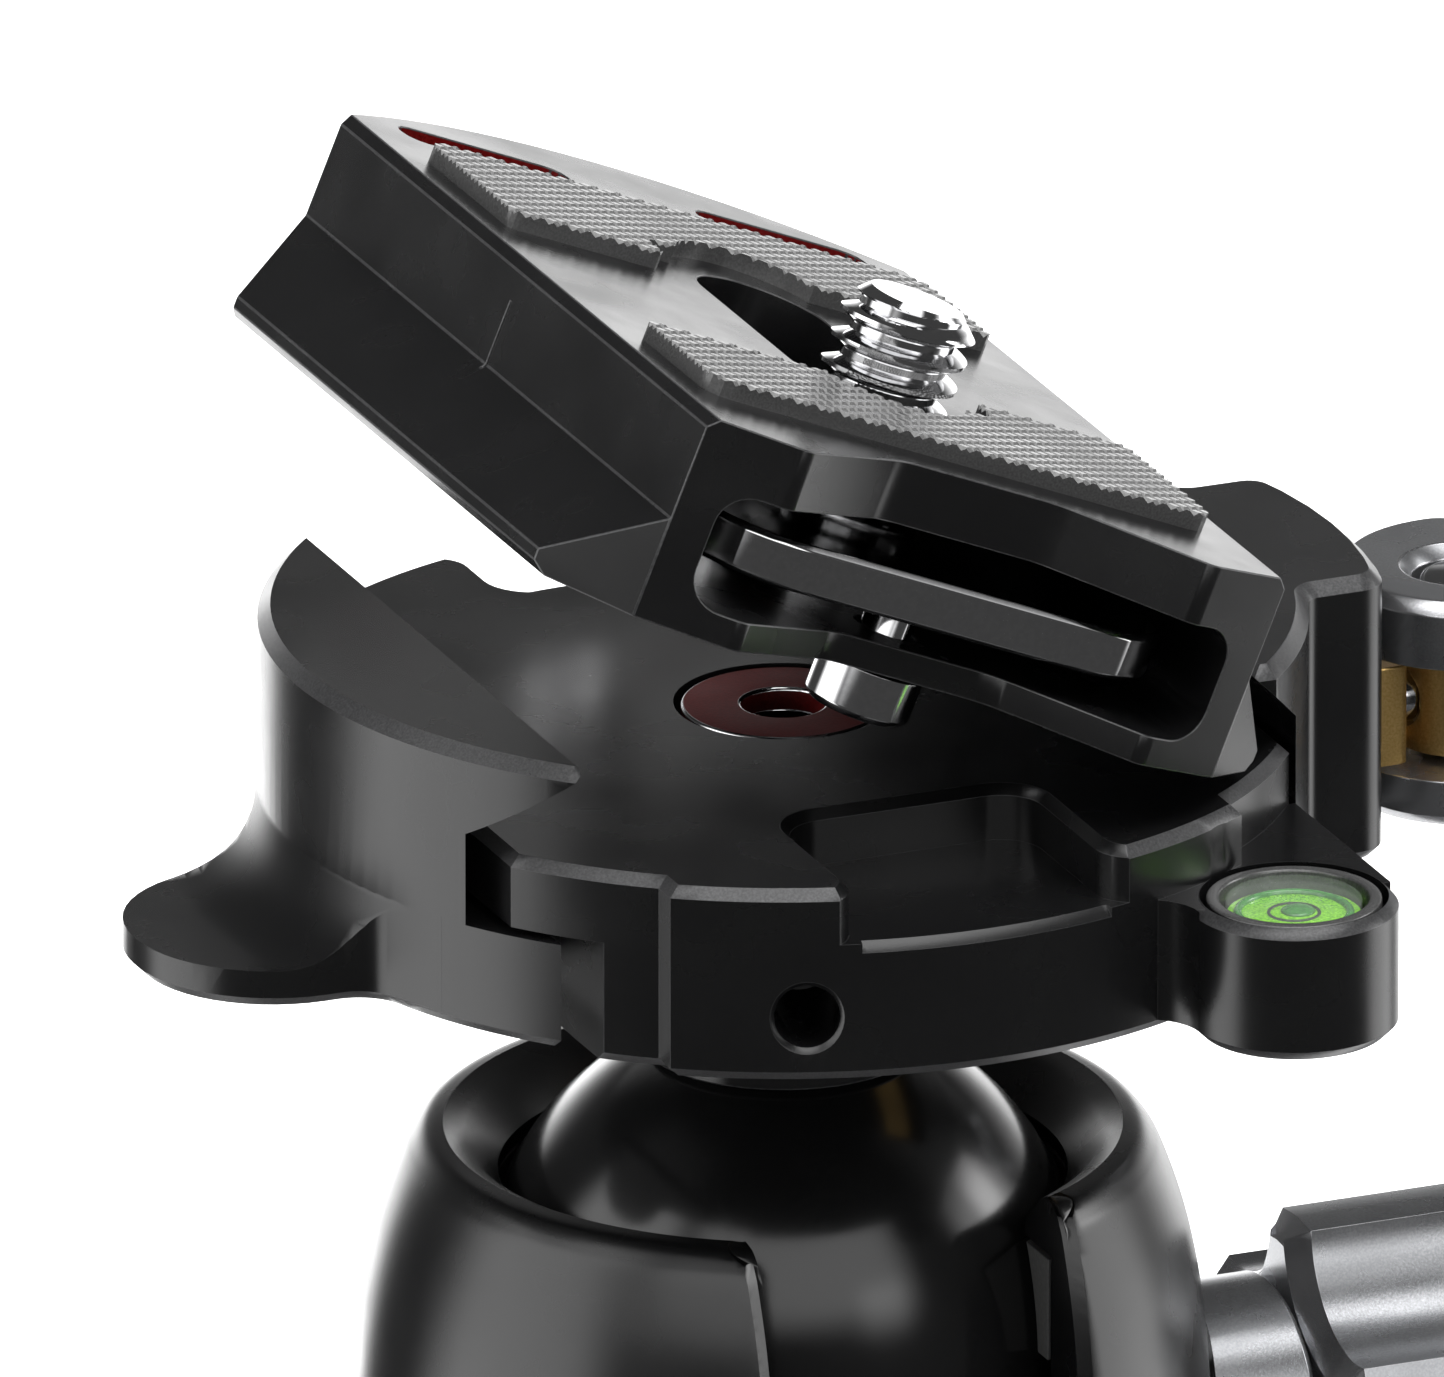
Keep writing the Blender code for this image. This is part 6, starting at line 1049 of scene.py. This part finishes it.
def knurl_form(middle_y):
    """A slab with flat-topped diamonds over its whole top, larger than one pad."""
    bm = bmesh.new()
    reach = math.ceil((PAD_HALF + PAD_OUTER_Y) / (2 * KNURL_PITCH))
    size = 2 * reach + 1
    near, far = 0.5 - KNURL_FLAT / 2, 0.5 + KNURL_FLAT / 2

    def corner(row, column, height):
        u = (row - reach) * KNURL_PITCH
        v = (column - reach) * KNURL_PITCH
        return bm.verts.new((u - v, middle_y + (u + v) * KNURL_SQUASH, height))

    corners = [[corner(row, column, PAD_TOP - KNURL_HEIGHT) for column in range(size)]
               for row in range(size)]
    for row in range(size - 1):
        for column in range(size - 1):
            ring = (corners[row][column], corners[row + 1][column],
                    corners[row + 1][column + 1], corners[row][column + 1])
            crown = [corner(row + down, column + along, PAD_TOP)
                     for down, along in ((near, near), (far, near), (far, far), (near, far))]
            bm.faces.new(crown)
            bridge(bm, (ring, crown))
    rim = [corners[row][0] for row in range(size)]
    rim += [corners[size - 1][column] for column in range(1, size)]
    rim += [corners[row][size - 1] for row in range(size - 2, -1, -1)]
    rim += [corners[0][column] for column in range(size - 2, 0, -1)]
    under = [bm.verts.new((vert.co.x, vert.co.y, PLATE_HEIGHT - OVERRUN)) for vert in rim]
    bridge(bm, (rim, under))
    bm.faces.new(under)
    return bm


def build_pads():
    """The front pad clears the screw's slot and steps back beside it. The rear one mirrors it."""
    meet = math.asin((PAD_INNER_Y - SCREW_Y) / PAD_SLOT)
    outline = rounded([
        (-PAD_HALF, PAD_INNER_Y, FINE), (-PAD_HALF, -PAD_OUTER_Y, PAD_CORNER),
        (PAD_HALF, -PAD_OUTER_Y, PAD_CORNER), (PAD_HALF, PAD_STEP_Y, FINE),
        (PAD_STEP_X, PAD_STEP_Y, FINE), (PAD_STEP_X, PAD_INNER_Y, FINE / 2)], SMALL_CORNER_STEPS)
    outline += arc(PAD_SLOT, math.tau + meet, math.pi - meet, ARC_STEPS, (0, SCREW_Y))
    for word, edge in (("front", outline), ("rear", [(-x, PAD_MIRROR - y) for x, y in outline])):
        pad = add_piece(f"pad_{word}", prism(edge, PLATE_HEIGHT, PAD_TOP + OVERRUN),
                        "black_rubber", PLATE)
        middle_y = (min(y for x, y in edge) + max(y for x, y in edge)) / 2
        carve(pad, knurl_form(middle_y), "INTERSECT", PLATE)


def thread_radius(share):
    """Radius across one pitch: a narrow crest, a wider root and straight flanks."""
    share = abs((share + 0.5) % 1.0 - 0.5) * 2
    if share < CREST_SHARE:
        return THREAD_RADIUS
    if share > 1 - ROOT_SHARE:
        return THREAD_ROOT
    along = (share - CREST_SHARE) / (1 - ROOT_SHARE - CREST_SHARE)
    return THREAD_RADIUS + (THREAD_ROOT - THREAD_RADIUS) * along


def build_camera_screw():
    """The screw stands on the carrier. The rows of its grid follow the helix of the thread."""
    row_height = THREAD_PITCH / THREAD_ROWS
    count = int((THREAD_TIP - THREAD_BOTTOM) / row_height)
    rows = [(radius, z, False) for radius, z in SCREW_FOOT]
    for index in range(-THREAD_ROWS, count + 2):
        rows.append((None, THREAD_BOTTOM + row_height * index, True))
    rows.append((TIP_RADIUS, THREAD_TOP, False))
    bm = bmesh.new()
    rings = []
    for radius, z, threaded in rows:
        ring = []
        for step in range(THREAD_SEGMENTS + 1):
            turn = step / THREAD_SEGMENTS
            height = z
            r = radius
            if threaded:
                height = min(max(z + THREAD_PITCH * turn, THREAD_BOTTOM), THREAD_TIP)
                r = min(thread_radius(height / THREAD_PITCH - turn),
                        TIP_RADIUS + THREAD_TOP - height)
            ring.append(bm.verts.new((r * math.cos(math.tau * turn),
                                      SCREW_Y + r * math.sin(math.tau * turn), height)))
        rings.append(ring)
    bridge(bm, rings, closed=False)
    bm.faces.new(list(reversed(rings[0][:-1])))
    bm.faces.new(rings[-1][:-1])
    screw = add_piece("camera_screw", bm, "polished_steel", PLATE)
    carve(screw, box(*DRIVE_SLOT), place=PLATE)
    add_piece("screw_clip", turned(SCREW_CLIP, SMALL, "Z", SCREW_PLACE), "polished_steel", PLATE)
    carrier = add_piece("screw_carrier", prism(rounded(CARRIER, ARC_STEPS), CARRIER_BOTTOM,
                                               CARRIER_TOP, CARRIER_CHAMFER, CARRIER_CHAMFER),
                        "polished_steel", PLATE)
    carve(carrier, rod(CARRIER_HOLE, 0, PLATE_HEIGHT, "Z", SCREW_PLACE), place=PLATE)


def feed(tree, target, inputs):
    """Sets a node's inputs from numbers and colours, or links them from sockets."""
    for key, value in inputs.items():
        if isinstance(value, bpy.types.NodeSocket):
            tree.links.new(value, target.inputs[key])
        else:
            target.inputs[key].default_value = value


def node(tree, kind, inputs, **settings):
    made = tree.nodes.new("ShaderNode" + kind)
    for name, value in settings.items():
        setattr(made, name, value)
    feed(tree, made, inputs)
    return made


def calc(tree, operation, *values):
    made = node(tree, "Math", dict(enumerate(values)), operation=operation)
    return made.outputs["Value"]


def node_set(name):
    """A fresh material with its tree and its shader."""
    material = bpy.data.materials.new(name)
    material.use_nodes = True
    tree = material.node_tree
    return material, tree, tree.nodes["Principled BSDF"]


def add_noise(tree, scale, detail):
    """A noise in object coordinates. Scale is in cycles per metre."""
    place = node(tree, "TexCoord", {}).outputs["Object"]
    texture = node(tree, "TexNoise", {"Vector": place, "Scale": scale, "Detail": detail})
    return texture.outputs["Fac"]


def ramp_value(tree, source, low, high, start, end):
    return node(tree, "MapRange", {"From Min": start, "From Max": end, "To Min": low,
                                   "To Max": high, "Value": source}).outputs["Result"]


def surface(name, colour, worn, rough, metallic, grain, depth, specular, coat):
    """A finish with grain in its relief, cloudy roughness and a second tone in its worn spots."""
    material, tree, shader = node_set(name)
    fine = add_noise(tree, grain, GRAIN_DETAIL)
    cloud = add_noise(tree, CLOUD_SCALE, CLOUD_DETAIL)
    tone = node(tree, "Mix", {"A": (*colour, 1), "B": (*worn, 1),
                              "Factor": ramp_value(tree, fine, 0, 1, *WORN_RAMP)},
                data_type="RGBA")
    bump = node(tree, "Bump", {"Strength": 1.0, "Distance": depth * MM, "Height": fine})
    feed(tree, shader, {
        "Metallic": metallic, "Specular IOR Level": specular, "Coat Weight": coat,
        "Coat Roughness": COAT_ROUGHNESS, "Base Color": tone.outputs["Result"],
        "Roughness": ramp_value(tree, cloud, *rough, *RAMP), "Normal": bump.outputs["Normal"]})
    return material


def make_materials():
    for kind, finish in FINISHES.items():
        KINDS[kind] = surface(*finish)
    KINDS["clear_cover"], tree, shader = node_set("clear_finish")
    smear = add_noise(tree, CLOUD_SCALE, SMEAR_DETAIL)
    feed(tree, shader, {"Base Color": COVER_TINT, "Alpha": COVER_ALPHA,
                        "Roughness": ramp_value(tree, smear, *SMEAR_ROUGHNESS, *RAMP)})


def bake(item):
    """Turns the piece and its Boolean steps into one plain mesh in the world's frame."""
    graph = bpy.context.evaluated_depsgraph_get()
    mesh = bpy.data.meshes.new_from_object(item.evaluated_get(graph))
    mesh.transform(item.matrix_world)
    item.modifiers.clear()
    item.data = mesh
    item.matrix_world = Matrix()


def soften(item, width):
    """Rounds the sharp edges of a piece, or leaves them crisp where width is 0."""
    mesh = item.data
    bm = bmesh.new()
    bm.from_mesh(mesh)
    bmesh.ops.remove_doubles(bm, verts=bm.verts, dist=WELD * MM)
    bmesh.ops.dissolve_degenerate(bm, edges=bm.edges, dist=WELD * MM)
    layer = bm.edges.layers.float.new("bevel_weight_edge")
    for edge in bm.edges:
        sharp = len(edge.link_faces) == 2 and edge.calc_face_angle() > SHARP
        if sharp and width > 0:
            edge[layer] = 1.0
        edge.smooth = not sharp or width > 0
    for face in bm.faces:
        face.smooth = True
    bm.to_mesh(mesh)
    bm.free()
    if width == 0:
        return
    step = item.modifiers.new("Soft edges", "BEVEL")
    step.limit_method = "WEIGHT"
    step.width = width
    step.segments = SOFT_SEGMENTS
    step.use_clamp_overlap = True
    step.loop_slide = True
    # The rounded edges take the edge slot, a painted highlight on black and grey pieces
    step.material = EDGE_MATERIAL
    flats = item.modifiers.new("Flat faces", "WEIGHTED_NORMAL")
    flats.weight = FLAT_WEIGHT


def dress():
    """Bakes every piece, softens it and hangs it on its body."""
    for item in PIECES.values():
        bake(item)
    for tool in TOOLS:
        bpy.data.objects.remove(tool, do_unlink=True)
    bodies = frame["record"]["behaviour"]["bodies"]
    for name, item in PIECES.items():
        soften(item, SOFT_EDGES.get(name, DEFAULT_SOFT_EDGE) * MM)
        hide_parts(name)
        body = next(body for body, nodes in bodies.items() if name in nodes)
        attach(item, body)


def ring_form(radius, tube, segments, sides):
    """A thin ring on the level's vial."""
    profile = [(radius + x, z) for x, z in circle(tube, (0, 0), sides)]
    return turned(profile, segments, "Z", (LEVEL_X, LEVEL_Y, VIAL_TOP))


def build_level_details():
    """The green ring, the bubble and its dark outline, which the frame has no nodes for."""
    dome = [(BUBBLE_RADIUS * math.cos(a), BUBBLE_HEIGHT * math.sin(a)) for a in BUBBLE_ANGLES]
    bubble = turned([(0, 0), (BUBBLE_RADIUS, 0), *dome, (0, BUBBLE_HEIGHT)], BUBBLE_SEGMENTS,
                    "Z", BUBBLE_PLACE)
    ring = ring_form(RING_RADIUS, RING_TUBE, RING_SEGMENTS, RING_SIDES)
    mark = ring_form(MARK_RADIUS, MARK_TUBE, MEDIUM, MARK_SIDES)
    for name, form, kind, slot in (
            ("level_ring", ring, "ring_green", "level_green"),
            ("level_mark", mark, "cup_black", "level_cup_black"),
            ("level_bubble", bubble, "ring_green", "level_green")):
        item = make_object(name + "_skin", form)
        item.data.materials.append(KINDS[kind])
        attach(item, "clamp")


def soft_band(tree, angle, centre, half, soft):
    """1 where an angle in degrees is within half of the centre, with a soft edge."""
    offset = calc(tree, "SUBTRACT", angle, math.radians(centre))
    away = calc(tree, "ABSOLUTE", calc(tree, "WRAP", offset, -math.pi, math.pi))
    return node(tree, "MapRange", {
        "From Min": math.radians(half - soft), "From Max": math.radians(half + soft),
        "To Min": 1, "To Max": 0, "Value": away},
        interpolation_type="SMOOTHSTEP").outputs["Result"]


def studio_radiance(tree, direction):
    """What the finishes mirror along a unit direction: soft panels in a dark room."""
    split = node(tree, "SeparateXYZ", {"Vector": direction}).outputs
    azimuth = calc(tree, "ARCTAN2", split["Y"], split["X"])
    rise = calc(tree, "ARCSINE", split["Z"])
    total = ROOM_RADIANCE
    for centre, half, soft, level, tall, level_soft, radiance in PANELS:
        across = soft_band(tree, azimuth, centre, half, soft)
        along = soft_band(tree, rise, level, tall, level_soft)
        glow = calc(tree, "MULTIPLY", calc(tree, "MULTIPLY", across, along), radiance)
        total = calc(tree, "ADD", glow, total)
    return total


def build_stage():
    """A white floor and backdrop to the camera, with the panels only in reflections."""
    bm = bmesh.new()
    bmesh.ops.create_grid(bm, x_segments=FLOOR_CELLS, y_segments=FLOOR_CELLS, size=FLOOR_SIZE)
    mesh = bpy.data.meshes.new("floor")
    bm.to_mesh(mesh)
    bm.free()
    floor = bpy.data.objects.new("floor", mesh)
    bpy.context.scene.collection.objects.link(floor)
    material, tree, shader = node_set("floor_white")
    path = node(tree, "LightPath", {}).outputs
    feed(tree, shader, {
        "Base Color": FLOOR_TONE, "Roughness": FLOOR_ROUGHNESS, "Specular IOR Level": 0.0,
        "Emission Color": WHITE,
        "Emission Strength": calc(tree, "MULTIPLY", path["Is Camera Ray"], FLOOR_GLOW)})
    spot = node(tree, "NewGeometry", {}).outputs["Position"]
    away = node(tree, "VectorMath", {0: spot, 1: AXIS + Vector((0, 0, MIRROR_HEIGHT))},
                operation="SUBTRACT").outputs["Vector"]
    unit = node(tree, "VectorMath", {0: away}, operation="NORMALIZE").outputs["Vector"]
    mirrored = node(tree, "Emission", {"Strength": studio_radiance(tree, unit)})
    mix = node(tree, "MixShader", {"Fac": path["Is Glossy Ray"], 1: shader.outputs["BSDF"],
                                   2: mirrored.outputs["Emission"]})
    feed(tree, tree.nodes["Material Output"], {"Surface": mix.outputs["Shader"]})
    material.cycles.emission_sampling = "NONE"
    mesh.materials.append(material)

    world = bpy.data.worlds.new("studio")
    world.use_nodes = True
    world.cycles.sampling_method = "NONE"
    bpy.context.scene.world = world
    tree = world.node_tree
    path = node(tree, "LightPath", {}).outputs
    ray = node(tree, "TexCoord", {}).outputs["Generated"]
    total = calc(tree, "MULTIPLY", path["Is Glossy Ray"], studio_radiance(tree, ray))
    plain = calc(tree, "MULTIPLY", path["Is Diffuse Ray"], WORLD_AMBIENT)
    for light in (plain, path["Is Camera Ray"], path["Is Transmission Ray"]):
        total = calc(tree, "ADD", total, light)
    feed(tree, tree.nodes["Background"], {"Strength": total, "Color": WHITE})


def add_lamp(name, azimuth, elevation, distance, width, height, radiance):
    """An area lamp that faces the head and doesn't show in reflections."""
    lamp = bpy.data.lights.new(name, "AREA")
    lamp.shape = "RECTANGLE"
    lamp.size = width
    lamp.size_y = height
    lamp.energy = radiance * math.pi * width * height
    item = bpy.data.objects.new(name, lamp)
    a = math.radians(azimuth)
    e = math.radians(elevation)
    away = Vector((math.cos(a) * math.cos(e), math.sin(a) * math.cos(e), math.sin(e)))
    item.location = AIM + away * distance
    item.rotation_euler = away.to_track_quat("Z", "Y").to_euler()
    item.visible_camera = False
    item.visible_glossy = False
    bpy.context.scene.collection.objects.link(item)


def build_camera():
    cosine = math.cos(VIEW_AZIMUTH)
    sine = math.sin(VIEW_AZIMUTH)
    level = math.cos(VIEW_ELEVATION)
    right = Vector((cosine, sine, 0))
    back = Vector((sine * level, -cosine * level, math.sin(VIEW_ELEVATION)))
    up = back.cross(right)
    camera_data = bpy.data.cameras.new("camera")
    camera_data.lens = LENS
    camera_data.sensor_width = SENSOR
    camera_data.clip_end = CLIP_END
    camera = bpy.data.objects.new("camera", camera_data)
    place = AIM + right * VIEW_RIGHT + up * VIEW_UP + back * VIEW_DISTANCE
    turn = Matrix((right, up, back)).transposed().to_4x4()
    camera.matrix_world = Matrix.Translation(place) @ turn
    bpy.context.scene.collection.objects.link(camera)
    bpy.context.scene.camera = camera


make_materials()
for name, (finish, segments, axis, centre, profile) in TURNED.items():
    add_piece(name, turned(profile, segments, axis, centre), finish)
for name, (finish, segments, axis, centre, radius, start, end, chamfer) in RODS.items():
    add_piece(name, rod(radius, start, end, axis, centre, segments, chamfer), finish)
build_housing()
build_main_knob()
build_ball_and_neck()
build_clamp_body()
build_right_jaw()
build_left_jaw()
build_jaw_carriage()
build_lever()
build_plate()
build_pads()
build_camera_screw()
dress()
build_level_details()

# CAD nodes that still show
for name in ("return_spring_front", "return_spring_back"):
    materials = frame["nodes"][name].data.materials
    materials.clear()
    materials.append(KINDS["polished_steel"])

build_stage()
for lamp in LAMPS:
    add_lamp(*lamp)
build_camera()
bpy.context.scene.view_settings.view_transform = "Standard"
